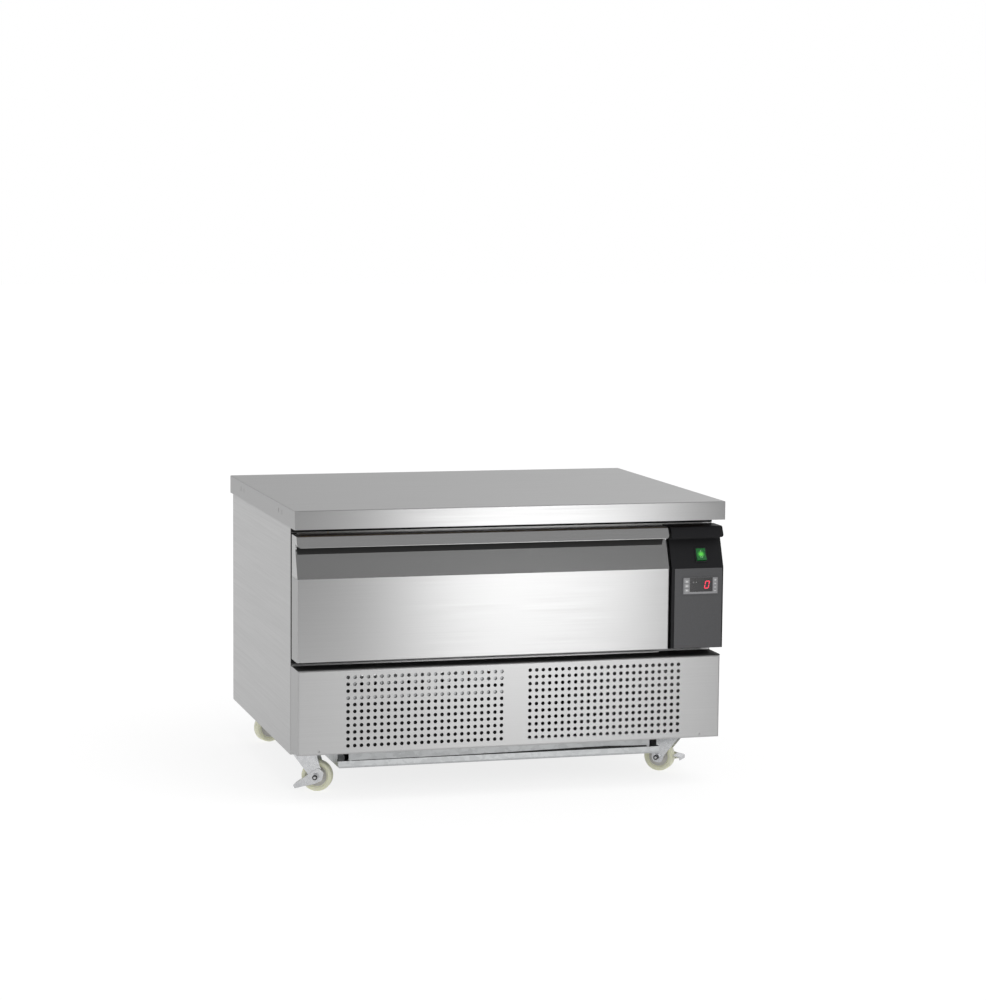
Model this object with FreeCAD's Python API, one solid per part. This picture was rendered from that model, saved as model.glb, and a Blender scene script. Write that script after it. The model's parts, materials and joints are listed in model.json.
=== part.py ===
import FreeCAD, Part
import math
import os

V = FreeCAD.Vector

# A refrigerated counter with one drawer for two full-size food pans, on four swivel casters.
# Millimetres. X runs to the right, Y to the back and Z up. The origin is on the floor under the
# middle of the worktop.

# Overall size, which is the outline of the worktop
WIDTH = 900.0
DEPTH = 700.0
HEIGHT = 592.0

# Sheet gauges and clearances
SHEET = 1.2
THIN_SHEET = 1.0
RAIL_SHEET = 1.5
SKIN_GAP = 0.1            # between skins that are screwed together
SLIDE_GAP = 0.4           # between runner members
SHAFT_GAP = 0.05          # radial, between a pin and what turns on it
PLAY = 0.3                # between moving faces
SEAM = 1.5                # open joint between frame lengths

# Worktop
WORKTOP_EDGE = 38.0
WORKTOP_RETURN = 18.0
WORKTOP_ROUND = 2.0
DIMPLE_HEIGHT = 10.0
DIMPLE_WIDTH = 3.0
DIMPLE_DEPTH = 0.5
DIMPLE_RISE = 22.0        # height of a dimple's middle over the underside
DIMPLE_SPACING = 34.0
DIMPLE_STATIONS = (-208.0, 203.0)

# Cabinet shell
BODY_INSET = 5.0          # side and back skins inside the worktop's outline
FRONT_THICKNESS = 66.0    # drawer front, from the worktop's front to the cabinet's face
SKIN_RETURN = 20.0
SKIN_ROUND = 1.5
BASE_HEIGHT = 93.0        # floor to the base rails
MACHINE_HEIGHT = 169.0    # base rails to the underside of the insulated box
BACK_WALL = 54.0
STILE_WIDTH = 76.0
RIGHT_POST = 136.0        # cabinet's right side to the drawer opening
BOTTOM_RAIL = 41.0
TOP_RAIL = 27.0
FRAME_RETURN = 14.0
RAIL_JOINT_X = 14.0       # where the two lengths of the bottom rail meet
LINER_SETBACK = 2.0
ALCOVE_WIDTH = 88.0       # cold space for the evaporator, right of the drawer opening
VENT_SLOTS = 14
VENT_PITCH = 14.0
VENT_WIDTH = 6.0
VENT_LENGTH = 70.0
VENT_RISE = 75.0          # middle of the slots over the base rails
VENT_CENTRES = (-200.0, 110.0)

# Drawer front and its grip
GRILLE_GAP = 9.0          # base rails to the grille panel's lower edge
GRILLE_HEIGHT = 171.5
FRONT_GAP = 15.5          # grille panel to drawer
WORKTOP_GAP = 14.5        # drawer to worktop
DRAWER_INSET = 1.0        # drawer end inside the cabinet side
CONTROL_ZONE = 115.0      # cabinet's right side to the drawer's end
GRIP_HEIGHT = 84.0
GRIP_DEPTH = 24.0
LIP_HEIGHT = 22.0
LIP_LEAN = 11.5
LIP_ROUND = 0.8
LIP_TOP_ROUND = 5.0
LIP_THICKNESS = 7.0
POCKET_RISE = 11.0        # hollow behind the lip, up from the lip's lower edge
GRIP_ROUND = 4.0
HANDLE_WALL = 1.5
CAP_LENGTH = 12.0
CAP_ROUND = 8.0
CAP_EDGE = 0.8
CAP_WALL = 3.0
PANEL_ROUND = 2.0
FOAM_FIT = 0.3
INNER_PANEL = 1.5
GASKET_THICKNESS = 8.2
GASKET_BASE = 4.0
GASKET_WIDTH = 18.0
GASKET_TIP = 10.0
GASKET_ROUND = 12.0
GASKET_MARGIN = 2.0

# Drawer carrier and runners
CARRIER_SIDE_GAP = 19.0   # opening's side to the carrier's skirt
CARRIER_LEDGE = 7.0       # ledge past the skirt
CARRIER_DROP = 22.0       # carrier's top under the opening's top
CARRIER_DEPTH = 58.0
CARRIER_BACK_GAP = 28.5   # carrier to the back of the cold space
PAN_LEDGE = 5.0           # ledge inside the carrier's skirt
PAN_BAY_FRONT = 20.0
PAN_BAY_BACK = 24.0
DIVIDER = 10.0
DIVIDER_DEPTH = 24.0
RUNNER_HEIGHT = 46.0
RUNNER_DROP = 55.0        # middle of the runners under the opening's top
RUNNER_FRONT = 18.0       # fixed runner behind the cabinet's face
RUNNER_BACK = 6.0         # fixed runner to the back of the cold space
RUNNER_FLANGE = 14.0
MIDDLE_SETBACK = 2.8      # middle runner's web from the cabinet wall
INNER_FLANGE = 13.0

# Grille panel
GRILLE_INSET = 1.0
GRILLE_ROUND = 4.0
GRILLE_LIP = 22.0
HOLE_DIAMETER = 7.6
HOLE_PITCH = 13.8
HOLE_COLUMNS = 24
HOLE_ROWS = 11
HOLE_RISE = 86.0          # middle of the hole field over the panel's lower edge
HOLE_CENTRES = (-182.5, 194.5)
SCREW_INSET = 45.0        # screw from the cabinet's side
SCREW_RISE = 8.0
SCREW_HEAD = 3.5          # radius of the countersunk head
SCREW_SHANK = 1.75
SCREW_LENGTH = 10.0
SCREW_NUT = 4.0

# Base and machine tray
RAIL_WIDTH = 98.0
RAIL_FLANGE = 30.0
TRAY_GAP = 2.9            # tray's side to the base rail
TRAY_FRONT = 80.0         # tray's front behind the worktop's front
TRAY_BACK = 60.0          # tray's back before the worktop's back
TRAY_FRONT_HEIGHT = 15.0
TRAY_SIDE_HEIGHT = 40.0
TRAY_STEP = 15.0
HOOK_LAP = 16.1           # tray's hook on the base rail
TRAY_ROUND = 5.0
BAFFLE_INSET = 22.0       # strip's end inside the tray's side
BAFFLE_RISE = 5.0         # strip's lower edge over the tray's underside
BAFFLE_GAP = 2.0          # strip to the grille panel

# Control housing
CONTROL_GAP = 6.5         # drawer end to housing
CONTROL_OVERHANG = 3.5    # housing past the cabinet side
CONTROL_SETBACK = 2.5     # housing face behind the drawer's face
HOUSING_WALL = 3.0
HOUSING_ROUND = 6.0
FASCIA = 1.0
FASCIA_LEFT = 6.5
FASCIA_RIGHT = 3.0
FASCIA_MARGIN = 1.0
SWITCH_INSET = 46.5       # switch from the housing's right end
SWITCH_RISE = 25.5        # up the slope's height from its lower edge
SWITCH_WIDTH = 25.0
SWITCH_LENGTH = 31.0
SWITCH_BEZEL = 2.0
SWITCH_DEPTH = 18.0
SWITCH_FIT = 0.2
WELL_WIDTH = 20.4
WELL_LENGTH = 27.4
WELL_DEPTH = 11.0
ROCKER_WIDTH = 19.8
ROCKER_LENGTH = 25.2
ROCKER_TIP = 5.8
ROCKER_WAIST = 3.2
ROCKER_KEEL = 4.0
ROCKER_TILT = 9.0
PIVOT_RADIUS = 1.5
PIVOT_LENGTH = 1.5
PIVOT_DEPTH = 1.0         # pivot under the bezel's seat
CONTROLLER_INSET = 50.0   # controller from the housing's right end
CONTROLLER_DROP = 37.0    # controller under the foot of the slope
CONTROLLER_SETBACK = 0.3  # controller's face behind the drawer's face
CONTROLLER_WIDTH = 79.0
CONTROLLER_HEIGHT = 37.0
CONTROLLER_ROUND = 2.0
CASE_WIDTH = 71.0
CASE_HEIGHT = 29.0
CASE_DEPTH = 48.0
CASE_FIT = 0.2
WINDOW_WIDTH = 50.0
WINDOW_HEIGHT = 29.0
WINDOW_RISE = 2.0         # window's middle over the controller's middle
WINDOW_X = 1.5            # window's middle right of the controller's middle
WINDOW_DEPTH = 1.0
WINDOW_FIT = 0.1
KEY_X = -29.7
KEY_WIDTH = 9.0
KEY_HEIGHT = 7.6
KEY_PITCH = 9.4
KEY_THICKNESS = 2.0
KEY_WELL = 3.0
KEY_GAP = 0.3

# Evaporator and its fan
EVAPORATOR_FINS = 16
EVAPORATOR_COLUMNS = 3
EVAPORATOR_ROWS = 6
EVAPORATOR_COLUMN_PITCH = 17.0
EVAPORATOR_EDGE = 14.0
EVAPORATOR_RISE = 29.0    # outer tubes to the floor and the ceiling of the cold space
EVAPORATOR_GAP = 27.0     # first tubes behind the upright plate
EVAPORATOR_FRONT = 78.0   # coil behind the fan's frame
EVAPORATOR_BACK = 82.0    # coil to the back of the cold space
FAN_FRONT = 154.0         # fan's axis behind the cabinet's face
FAN_RISE = 74.0           # fan's axis over the floor of the cold space
FAN_SIZE = 120.0
FAN_DEPTH = 25.0
FAN_MOUTH = 57.0
FAN_STRUT = 4.0
FAN_HUB = 20.0
RETURN_SLOTS = 6
RETURN_PITCH = 18.0
RETURN_BACK = 140.0       # first slot to the back of the cold space
RETURN_RISE = 79.0        # middle of the slots over the floor of the cold space
RETURN_LENGTH = 100.0
RETURN_WIDTH = 8.0

# Condensing unit on the machine tray
CONDENSER_INSET = 28.0    # coil's end plate from the tray's left side
CONDENSER_SHORT = 83.0    # coil shorter than half the tray's width
CONDENSER_FINS = 22
CONDENSER_COLUMNS = 2
CONDENSER_ROWS = 6
CONDENSER_COLUMN_PITCH = 23.0
CONDENSER_ROW_PITCH = 25.0
CONDENSER_EDGE = 11.0
CONDENSER_FRONT = 46.0    # first tubes behind the tray's front
CONDENSER_RISE = 22.0     # lowest tubes over the tray's floor
FIN = 0.8
END_PLATE = 2.0
COIL_TUBE = 4.5
COIL_STUB = 10.0
SHROUD_COLLAR = 22.0
BLADE_RADIUS = 74.0
TIP_GAP = 4.0
COLLAR_WALL = 2.0
MOTOR_RADIUS = 40.0
MOTOR_LENGTH = 55.0
MOTOR_GAP = 16.0          # fan hub to motor
FAN_SETBACK = 6.0         # fan hub past the collar's end
SHAFT_RADIUS = 4.0
HUB_RADIUS = 22.0
HUB_LENGTH = 20.0
ARM_REACH = 92.0
ARM_WIDTH = 12.0
ARM = 3.0
ARM_ANGLE = 35.0
COMPRESSOR_INSET = 173.0  # compressor from the tray's right side
COMPRESSOR_BACK = 100.0   # compressor before the condensate pan
COMPRESSOR_RADIUS = 84.0
COMPRESSOR_HEIGHT = 160.0
COMPRESSOR_SEAM = 80.0
DOME_ROUND = 34.0
FOOT_ROUND = 14.0
MOUNT_RISE = 12.0
MOUNT_RADIUS = 11.0
FOOT_LENGTH = 190.0
FOOT_WIDTH = 150.0
FOOT_PLATE = 3.0
STUB_RADIUS = 6.0
STUB_LENGTH = 10.0
DISCHARGE_RISE = 62.5     # discharge stub over the tray's floor
SUCTION_RISE = 132.5      # suction stub over the tray's floor
COVER_WIDTH = 64.0        # terminal cover on the compressor
COVER_REACH = 28.0
COVER_SINK = 20.0
COVER_RISE = 20.0
COVER_HEIGHT = 55.0
DISCHARGE_RADIUS = 4.0
SUCTION_RADIUS = 5.0
LIQUID_RADIUS = 3.0
PIPE_BEND = 18.0
PIPE_HOLE = 0.5           # radial room round a pipe in a sheet
PASS_BACK = 40.0          # suction pipe and drain to the back of the cold space
LIQUID_PASS_BACK = 20.0   # liquid line to the back of the cold space
DRIER_RADIUS = 10.0
DRIER_LENGTH = 90.0
DRIER_BACK = 51.0         # drier behind the condenser's outlet
DRIER_SHARE = 0.29        # place of the drier between condenser and compressor
DISCHARGE_SHARE = 0.58    # place of the discharge pipe's riser between them
LIQUID_RUN = 80.0         # liquid line from the drier to its riser
LIQUID_DROP = 20.0        # liquid line under the insulated box
DRAIN_GAP = 11.0          # drain behind the upright plate
DRAIN_RADIUS = 7.0
DRAIN_WALL = 1.5
DRAIN_RISE = 27.5         # hose's end over the tray's floor
PAN_WIDTH = 295.0
PAN_DEPTH = 88.0
PAN_SIDE_GAP = 8.0
PAN_BACK_GAP = 7.0
PAN_HEIGHT = 42.0
PAN_WALL = 2.0
PAN_ROUND = 6.0
GLAND_INSET = 145.0       # gland from the cabinet's right side
GLAND_RISE = 42.0         # gland over the base rails
GLAND_RADIUS = 11.0
GLAND_BORE = 4.5
GLAND_NUT = 15.0
GLAND_OUT = 6.0
GLAND_IN = 18.0

# Casters
SWIVEL_INSET = 47.0       # swivel axis from the cabinet's side
SWIVEL_FRONT = 155.0      # front swivels behind the worktop's front
SWIVEL_BACK = 40.0        # rear swivels before the worktop's back
SWIVEL_ANGLES = {"fl": -24.0, "fr": 142.0, "rl": 15.0, "rr": 160.0}
TRAIL = 28.0
WHEEL_RADIUS = 31.5
TREAD_HALF = 11.0
TREAD_ROUND = 3.5
HUB_OUTER = 13.0
HUB_HALF = 13.5
WEB_OUTER = 23.0
WEB_HALF = 8.5
AXLE_RADIUS = 4.0
LEG_INSIDE = 14.5
LEG = 2.5
LEG_END = 12.0
CROWN_RADIUS = 27.0
CROWN_BOTTOM = 80.0
CROWN_TOP = 84.0
RACE_RADIUS = 22.0
RIB_BOTTOM = 54.0
RIB_HALF = 8.0
RIB_HEIGHT = 1.2
PLATE_SIDE = 60.0
PLATE = 3.0
PLATE_ROUND = 6.0
KING_PIN = 5.0
KING_HEAD = 9.0
KING_HEAD_HEIGHT = 3.0
BOLT_SPACING = 46.0
BOLT_RADIUS = 3.0
BOLT_HEAD = 5.0           # half the distance across flats
BOLT_HEAD_HEIGHT = 4.0
AXLE_HEAD = 6.5
AXLE_HEAD_HEIGHT = 5.0
LEVER = 2.2
LEVER_PLAY = 0.2
PEDAL_INNER = 34.0
PEDAL_OUTER = 50.0
PEDAL_SIDE = 12.0
BRAKE_DOWN = 27.0
BRAKE_UP = 2.0

# Places that follow from the sizes above
HALF_WIDTH = WIDTH / 2
FRONT = -DEPTH / 2
BACK = DEPTH / 2
BODY_TOP = HEIGHT - WORKTOP_EDGE
BODY_HALF = HALF_WIDTH - BODY_INSET
BODY_BACK = BACK - BODY_INSET
FACE = FRONT + FRONT_THICKNESS
BOX_BOTTOM = BASE_HEIGHT + MACHINE_HEIGHT
OPEN_LEFT = -BODY_HALF + STILE_WIDTH
OPEN_RIGHT = BODY_HALF - RIGHT_POST
OPEN_MIDDLE = (OPEN_LEFT + OPEN_RIGHT) / 2
OPEN_BOTTOM = BOX_BOTTOM + BOTTOM_RAIL
OPEN_TOP = BODY_TOP - TOP_RAIL
SKIN_INSIDE = BODY_HALF - THIN_SHEET - SKIN_GAP
BACK_INSIDE = BODY_BACK - 2 * THIN_SHEET - 2 * SKIN_GAP
FRAME_INSIDE = FACE + SHEET + SKIN_GAP
LINER_LEFT = OPEN_LEFT - LINER_SETBACK
LINER_RIGHT = OPEN_RIGHT + ALCOVE_WIDTH
LINER_BOTTOM = OPEN_BOTTOM - LINER_SETBACK
LINER_TOP = OPEN_TOP + LINER_SETBACK
LINER_BACK = BODY_BACK - BACK_WALL - THIN_SHEET
BAFFLE_X = OPEN_RIGHT + LINER_SETBACK
GRILLE_BOTTOM = BASE_HEIGHT + GRILLE_GAP
GRILLE_TOP = GRILLE_BOTTOM + GRILLE_HEIGHT
DRAWER_LEFT = -BODY_HALF + DRAWER_INSET
DRAWER_RIGHT = BODY_HALF - CONTROL_ZONE
DRAWER_WIDTH = DRAWER_RIGHT - DRAWER_LEFT
DRAWER_BOTTOM = GRILLE_TOP + FRONT_GAP
DRAWER_TOP = BODY_TOP - WORKTOP_GAP
DRAWER_INSIDE = FACE - PLAY - GASKET_THICKNESS
DRAWER_BACK = DRAWER_INSIDE - INNER_PANEL
FLAT_TOP = DRAWER_TOP - GRIP_HEIGHT
LIP_BOTTOM = DRAWER_TOP - LIP_HEIGHT
CONTROL_LEFT = DRAWER_RIGHT + CONTROL_GAP
CONTROL_RIGHT = BODY_HALF + CONTROL_OVERHANG
CONTROL_FACE = FRONT + CONTROL_SETBACK
CONTROLLER_FRONT = FRONT + CONTROLLER_SETBACK
CONTROLLER_X = CONTROL_RIGHT - CONTROLLER_INSET
CONTROLLER_Z = FLAT_TOP - CONTROLLER_DROP
CARRIER_HALF = (OPEN_RIGHT - OPEN_LEFT) / 2 - CARRIER_SIDE_GAP
CARRIER_TOP = OPEN_TOP - CARRIER_DROP
CARRIER_LENGTH = LINER_BACK - CARRIER_BACK_GAP - DRAWER_INSIDE
PAN_BAY_LENGTH = CARRIER_LENGTH - PAN_BAY_FRONT - PAN_BAY_BACK
RUNNER_MIDDLE = OPEN_TOP - RUNNER_DROP
RUNNER_LENGTH = LINER_BACK - RUNNER_BACK - FACE - RUNNER_FRONT
SCREW_X = BODY_HALF - SCREW_INSET
SWIVEL_X = BODY_HALF - SWIVEL_INSET
SWIVEL_FRONT_Y = FRONT + SWIVEL_FRONT
SWIVEL_REAR_Y = BACK - SWIVEL_BACK
RAIL_EDGE = SKIN_INSIDE - RAIL_WIDTH
TRAY_HALF = RAIL_EDGE - TRAY_GAP
TRAY_TOP = BASE_HEIGHT + 2 * RAIL_SHEET
TRAY_BOTTOM = TRAY_TOP - TRAY_SIDE_HEIGHT
TRAY_FLOOR = TRAY_BOTTOM + RAIL_SHEET
TRAY_Y = FRONT + TRAY_FRONT
TRAY_END = BACK - TRAY_BACK
GLAND_X = BODY_HALF - GLAND_INSET
GLAND_Z = BASE_HEIGHT + GLAND_RISE
PAN_RIGHT = TRAY_HALF - PAN_SIDE_GAP
PAN_LEFT = PAN_RIGHT - PAN_WIDTH
PAN_BACK = TRAY_END - PAN_BACK_GAP
PAN_FRONT = PAN_BACK - PAN_DEPTH
PASS_Y = LINER_BACK - PASS_BACK
LIQUID_PASS_Y = LINER_BACK - LIQUID_PASS_BACK
LIQUID_Z = BOX_BOTTOM - LIQUID_DROP
DRAIN_X = BAFFLE_X + DRAIN_GAP
DRAIN_END = TRAY_FLOOR + DRAIN_RISE
FAN_Y = FACE + FAN_FRONT
FAN_Z = LINER_BOTTOM + FAN_RISE
RETURN_Y = LINER_BACK - RETURN_BACK
RETURN_Z = LINER_BOTTOM + RETURN_RISE
EVAPORATOR_X = BAFFLE_X + EVAPORATOR_GAP
EVAPORATOR_Y = FAN_Y + FAN_SIZE / 2 + EVAPORATOR_FRONT
EVAPORATOR_LENGTH = LINER_BACK - EVAPORATOR_BACK - EVAPORATOR_Y
EVAPORATOR_BOTTOM = LINER_BOTTOM + EVAPORATOR_RISE
EVAPORATOR_ROW_PITCH = (LINER_TOP - EVAPORATOR_RISE - EVAPORATOR_BOTTOM) / (EVAPORATOR_ROWS - 1)
CONDENSER_LENGTH = TRAY_HALF - CONDENSER_SHORT
CONDENSER_X = -TRAY_HALF + CONDENSER_INSET + CONDENSER_LENGTH / 2
CONDENSER_Y = TRAY_Y + CONDENSER_FRONT
CONDENSER_BOTTOM = TRAY_FLOOR + CONDENSER_RISE
COMPRESSOR_X = TRAY_HALF - COMPRESSOR_INSET
COMPRESSOR_Y = PAN_FRONT - COMPRESSOR_BACK
DISCHARGE_Z = TRAY_FLOOR + DISCHARGE_RISE
SUCTION_Z = TRAY_FLOOR + SUCTION_RISE
AXLE_Z = WHEEL_RADIUS
LEG_OUTSIDE = LEG_INSIDE + LEG
PLATE_BOTTOM = BASE_HEIGHT - PLATE
FAN_AXIS_Z = CONDENSER_BOTTOM + CONDENSER_ROW_PITCH * (CONDENSER_ROWS - 1) / 2
SHROUD_Y = CONDENSER_Y + CONDENSER_COLUMN_PITCH * (CONDENSER_COLUMNS - 1) + CONDENSER_EDGE
BLADE_Y = SHROUD_Y + SHEET + SHROUD_COLLAR - HUB_LENGTH + FAN_SETBACK
SLOPE_TILT = math.degrees(math.atan2(GRIP_DEPTH, LIP_BOTTOM - FLAT_TOP))
SWITCH_Y = CONTROL_FACE + SWITCH_RISE * math.tan(math.radians(SLOPE_TILT))
SWITCH_Z = FLAT_TOP + SWITCH_RISE
SWITCH_X = CONTROL_RIGHT - SWITCH_INSET
SUCTION_X = EVAPORATOR_X + EVAPORATOR_COLUMN_PITCH
LIQUID_X = EVAPORATOR_X + 2 * EVAPORATOR_COLUMN_PITCH
CONDENSER_END = CONDENSER_X + CONDENSER_LENGTH / 2
CONDENSER_HIGH = CONDENSER_BOTTOM + CONDENSER_ROW_PITCH * (CONDENSER_ROWS - 1)
CONDENSER_OUT_X = CONDENSER_END + COIL_STUB
CONDENSER_OUT_Y = CONDENSER_Y + CONDENSER_COLUMN_PITCH
DISCHARGE_STUB_X = COMPRESSOR_X - COMPRESSOR_RADIUS - STUB_LENGTH
DRIER_X = CONDENSER_OUT_X + DRIER_SHARE * (DISCHARGE_STUB_X - CONDENSER_OUT_X)
DRIER_Y = CONDENSER_OUT_Y + DRIER_BACK
DISCHARGE_X = CONDENSER_OUT_X + DISCHARGE_SHARE * (DISCHARGE_STUB_X - CONDENSER_OUT_X)
LIQUID_Y = DRIER_Y + DRIER_LENGTH + LIQUID_RUN
EVAPORATOR_END = EVAPORATOR_Y + EVAPORATOR_LENGTH
EVAPORATOR_HIGH = EVAPORATOR_BOTTOM + EVAPORATOR_ROW_PITCH * (EVAPORATOR_ROWS - 1)


def box(x0, x1, y0, y1, z0, z1):
    """Block between two opposite corners."""
    return Part.makeBox(x1 - x0, y1 - y0, z1 - z0, V(x0, y0, z0))


def rod(start, end, radius):
    """Round bar between two points."""
    axis = end - start
    return Part.makeCylinder(radius, axis.Length, start, axis)


def in_xy(z):
    """Flat points laid on a level plane."""
    return lambda a, b: V(a, b, z)


def in_xz(y):
    """Flat points laid on a plane that faces the front."""
    return lambda a, b: V(a, y, b)


def in_yz(x):
    """Flat points laid on a plane that faces the side."""
    return lambda a, b: V(x, a, b)


def loop(points, radii, place):
    """Closed wire through flat points, each corner rounded by its own radius."""
    corners = [place(a, b) for a, b in points]
    if not isinstance(radii, (list, tuple)):
        radii = [radii] * len(corners)
    firsts = []
    lasts = []
    arcs = []
    for i, here in enumerate(corners):
        into = (corners[i - 1] - here).normalize()
        out = (corners[(i + 1) % len(corners)] - here).normalize()
        arc = None
        first = here
        last = here
        if radii[i] > 0:
            half = into.getAngle(out) / 2
            reach = radii[i] / math.tan(half)
            first = here + into * reach
            last = here + out * reach
            inward = (into + out).normalize()
            middle = here + inward * (radii[i] / math.sin(half) - radii[i])
            arc = Part.Arc(first, middle, last).toShape()
        firsts.append(first)
        lasts.append(last)
        arcs.append(arc)
    edges = []
    for i in range(len(corners)):
        if arcs[i] is not None:
            edges.append(arcs[i])
        start = lasts[i]
        end = firsts[(i + 1) % len(corners)]
        if (end - start).Length > 1e-6:
            edges.append(Part.makeLine(start, end))
    return Part.Wire(edges)


def slab(points, radii, place, direction):
    """Solid swept from a rounded flat outline."""
    return Part.Face(loop(points, radii, place)).extrude(direction)


def rectangle(a0, a1, b0, b1):
    """Corner points of an upright rectangle."""
    return [(a0, b0), (a1, b0), (a1, b1), (a0, b1)]


def bent_sheet(line, thickness):
    """Closed outline of a bent sheet, its thickness to the left of the line it follows."""
    normals = []
    for (a0, b0), (a1, b1) in zip(line, line[1:]):
        length = math.hypot(a1 - a0, b1 - b0)
        normals.append(((b0 - b1) / length, (a1 - a0) / length))
    inner = []
    for i, (a, b) in enumerate(line):
        n0 = normals[max(i - 1, 0)]
        n1 = normals[min(i, len(normals) - 1)]
        share = thickness / (1 + n0[0] * n1[0] + n0[1] * n1[1])
        inner.append((a + share * (n0[0] + n1[0]), b + share * (n0[1] + n1[1])))
    return line + inner[::-1]


def runs_along(edge, axis):
    """Whether an edge is straight and parallel to an axis."""
    if len(edge.Vertexes) != 2:
        return False
    span = edge.Vertexes[1].Point - edge.Vertexes[0].Point
    return abs(abs(span.dot(axis)) - span.Length) < 1e-6 and abs(edge.Length - span.Length) < 1e-6


def round_edges(shape, radius, chosen):
    """Shape with the chosen edges rounded."""
    return shape.makeFillet(radius, [edge for edge in shape.Edges if chosen(edge)])


def mirrored(shape, x):
    """Copy of a shape on the other side of an upright plane."""
    return shape.mirror(V(x, 0, 0), V(1, 0, 0))


def fused(shapes):
    """One solid from touching or crossing solids."""
    return shapes[0].multiFuse(shapes[1:]).removeSplitter()


def pipe(points, radius):
    """Round pipe through points, bent to one radius at each corner."""
    edges = []
    start = points[0]
    for i in range(1, len(points) - 1):
        into = (points[i - 1] - points[i]).normalize()
        out = (points[i + 1] - points[i]).normalize()
        half = into.getAngle(out) / 2
        first = points[i] + into * (PIPE_BEND / math.tan(half))
        last = points[i] + out * (PIPE_BEND / math.tan(half))
        inward = (into + out).normalize()
        middle = points[i] + inward * (PIPE_BEND / math.sin(half) - PIPE_BEND)
        edges.append(Part.makeLine(start, first))
        edges.append(Part.Arc(first, middle, last).toShape())
        start = last
    edges.append(Part.makeLine(start, points[-1]))
    section = Part.Wire(Part.makeCircle(radius, points[0], points[1] - points[0]))
    return Part.Wire(edges).makePipeShell([section], True, True)


def hexagon(half_flats, centre, axis, height):
    """Hexagonal head or nut."""
    points = []
    for i in range(6):
        angle = math.radians(60 * i)
        reach = half_flats / math.cos(math.radians(30))
        points.append(V(reach * math.cos(angle), reach * math.sin(angle), 0))
    head = Part.Face(Part.makePolygon(points + points[:1])).extrude(V(0, 0, height))
    head.Placement = FreeCAD.Placement(centre, FreeCAD.Rotation(V(0, 0, 1), axis))
    return head


def front_section(x, bottom, front, back, pocket):
    """Outline of a front: flat face, grip recess and lip, with or without a pocket behind the lip."""
    points = [
        (front, FLAT_TOP),
        (front + GRIP_DEPTH, LIP_BOTTOM),
        (front, LIP_BOTTOM),
        (front + LIP_LEAN, DRAWER_TOP),
        (back, DRAWER_TOP),
        (back, bottom),
    ]
    radii = [0, GRIP_ROUND, LIP_ROUND, LIP_TOP_ROUND, 0, 0]
    if pocket:
        high = LIP_BOTTOM + POCKET_RISE
        deep = GRIP_DEPTH * (high - FLAT_TOP) / (LIP_BOTTOM - FLAT_TOP)
        lean = LIP_THICKNESS + LIP_LEAN * POCKET_RISE / LIP_HEIGHT
        points[1:2] = [(front + deep, high), (front + lean, high), (front + LIP_THICKNESS, LIP_BOTTOM)]
        radii[1:2] = [GRIP_ROUND, GRIP_ROUND, LIP_ROUND]
    if bottom < FLAT_TOP:
        points.append((front, bottom))
        radii.append(0)
    return loop(points, radii, in_yz(x))


def lip_corner(end, away, front, radius):
    """What rounding takes off the lower corner of a lip, at an end that faces left (-1) or right (1)."""
    depth = GRIP_DEPTH - GRIP_ROUND
    inside = end - away * radius
    x0, x1 = sorted((inside, end + away))
    corner = box(x0, x1, front - 1, front + depth, LIP_BOTTOM - 1, LIP_BOTTOM + radius)
    spot = V(inside, front - 2, LIP_BOTTOM + radius)
    return corner.cut(Part.makeCylinder(radius, depth + 3, spot, V(0, 1, 0)))


def pass_holes(z0, z1):
    """Room for the pipes and the drain hose where they cross a level wall."""
    spots = (
        (SUCTION_X, PASS_Y, SUCTION_RADIUS),
        (LIQUID_X, LIQUID_PASS_Y, LIQUID_RADIUS),
        (DRAIN_X, PASS_Y, DRAIN_RADIUS),
    )
    holes = [
        Part.makeCylinder(radius + PIPE_HOLE, z1 - z0, V(x, y, z0))
        for x, y, radius in spots
    ]
    return Part.makeCompound(holes)


def worktop():
    """Folded tray with rounded edges and pairs of small dimples in its ends."""
    outer = box(-HALF_WIDTH, HALF_WIDTH, FRONT, BACK, BODY_TOP, HEIGHT)
    outer = round_edges(
        outer,
        WORKTOP_ROUND,
        lambda e: runs_along(e, V(0, 0, 1)) or abs(e.CenterOfMass.z - HEIGHT) < 1e-6,
    )
    inset = SHEET + WORKTOP_RETURN
    mouth = box(
        -HALF_WIDTH + inset, HALF_WIDTH - inset,
        FRONT + inset, BACK - inset,
        BODY_TOP - SHEET, BODY_TOP + 2 * SHEET,
    )
    shell = outer.cut(worktop_inside()).cut(mouth)
    dimples = []
    for station in DIMPLE_STATIONS:
        for y in (station - DIMPLE_SPACING / 2, station + DIMPLE_SPACING / 2):
            for x in (-HALF_WIDTH - DIMPLE_DEPTH, HALF_WIDTH - DIMPLE_DEPTH):
                z = BODY_TOP + DIMPLE_RISE
                points = rectangle(
                    y - DIMPLE_WIDTH / 2, y + DIMPLE_WIDTH / 2,
                    z - DIMPLE_HEIGHT / 2, z + DIMPLE_HEIGHT / 2,
                )
                dimples.append(slab(points, DIMPLE_WIDTH / 2.1, in_yz(x), V(2 * DIMPLE_DEPTH, 0, 0)))
    return shell.cut(Part.makeCompound(dimples))


def worktop_inside():
    """Space inside the worktop's sheet."""
    return box(
        -HALF_WIDTH + SHEET, HALF_WIDTH - SHEET,
        FRONT + SHEET, BACK - SHEET,
        BODY_TOP + SHEET, HEIGHT - SHEET,
    )


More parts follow.
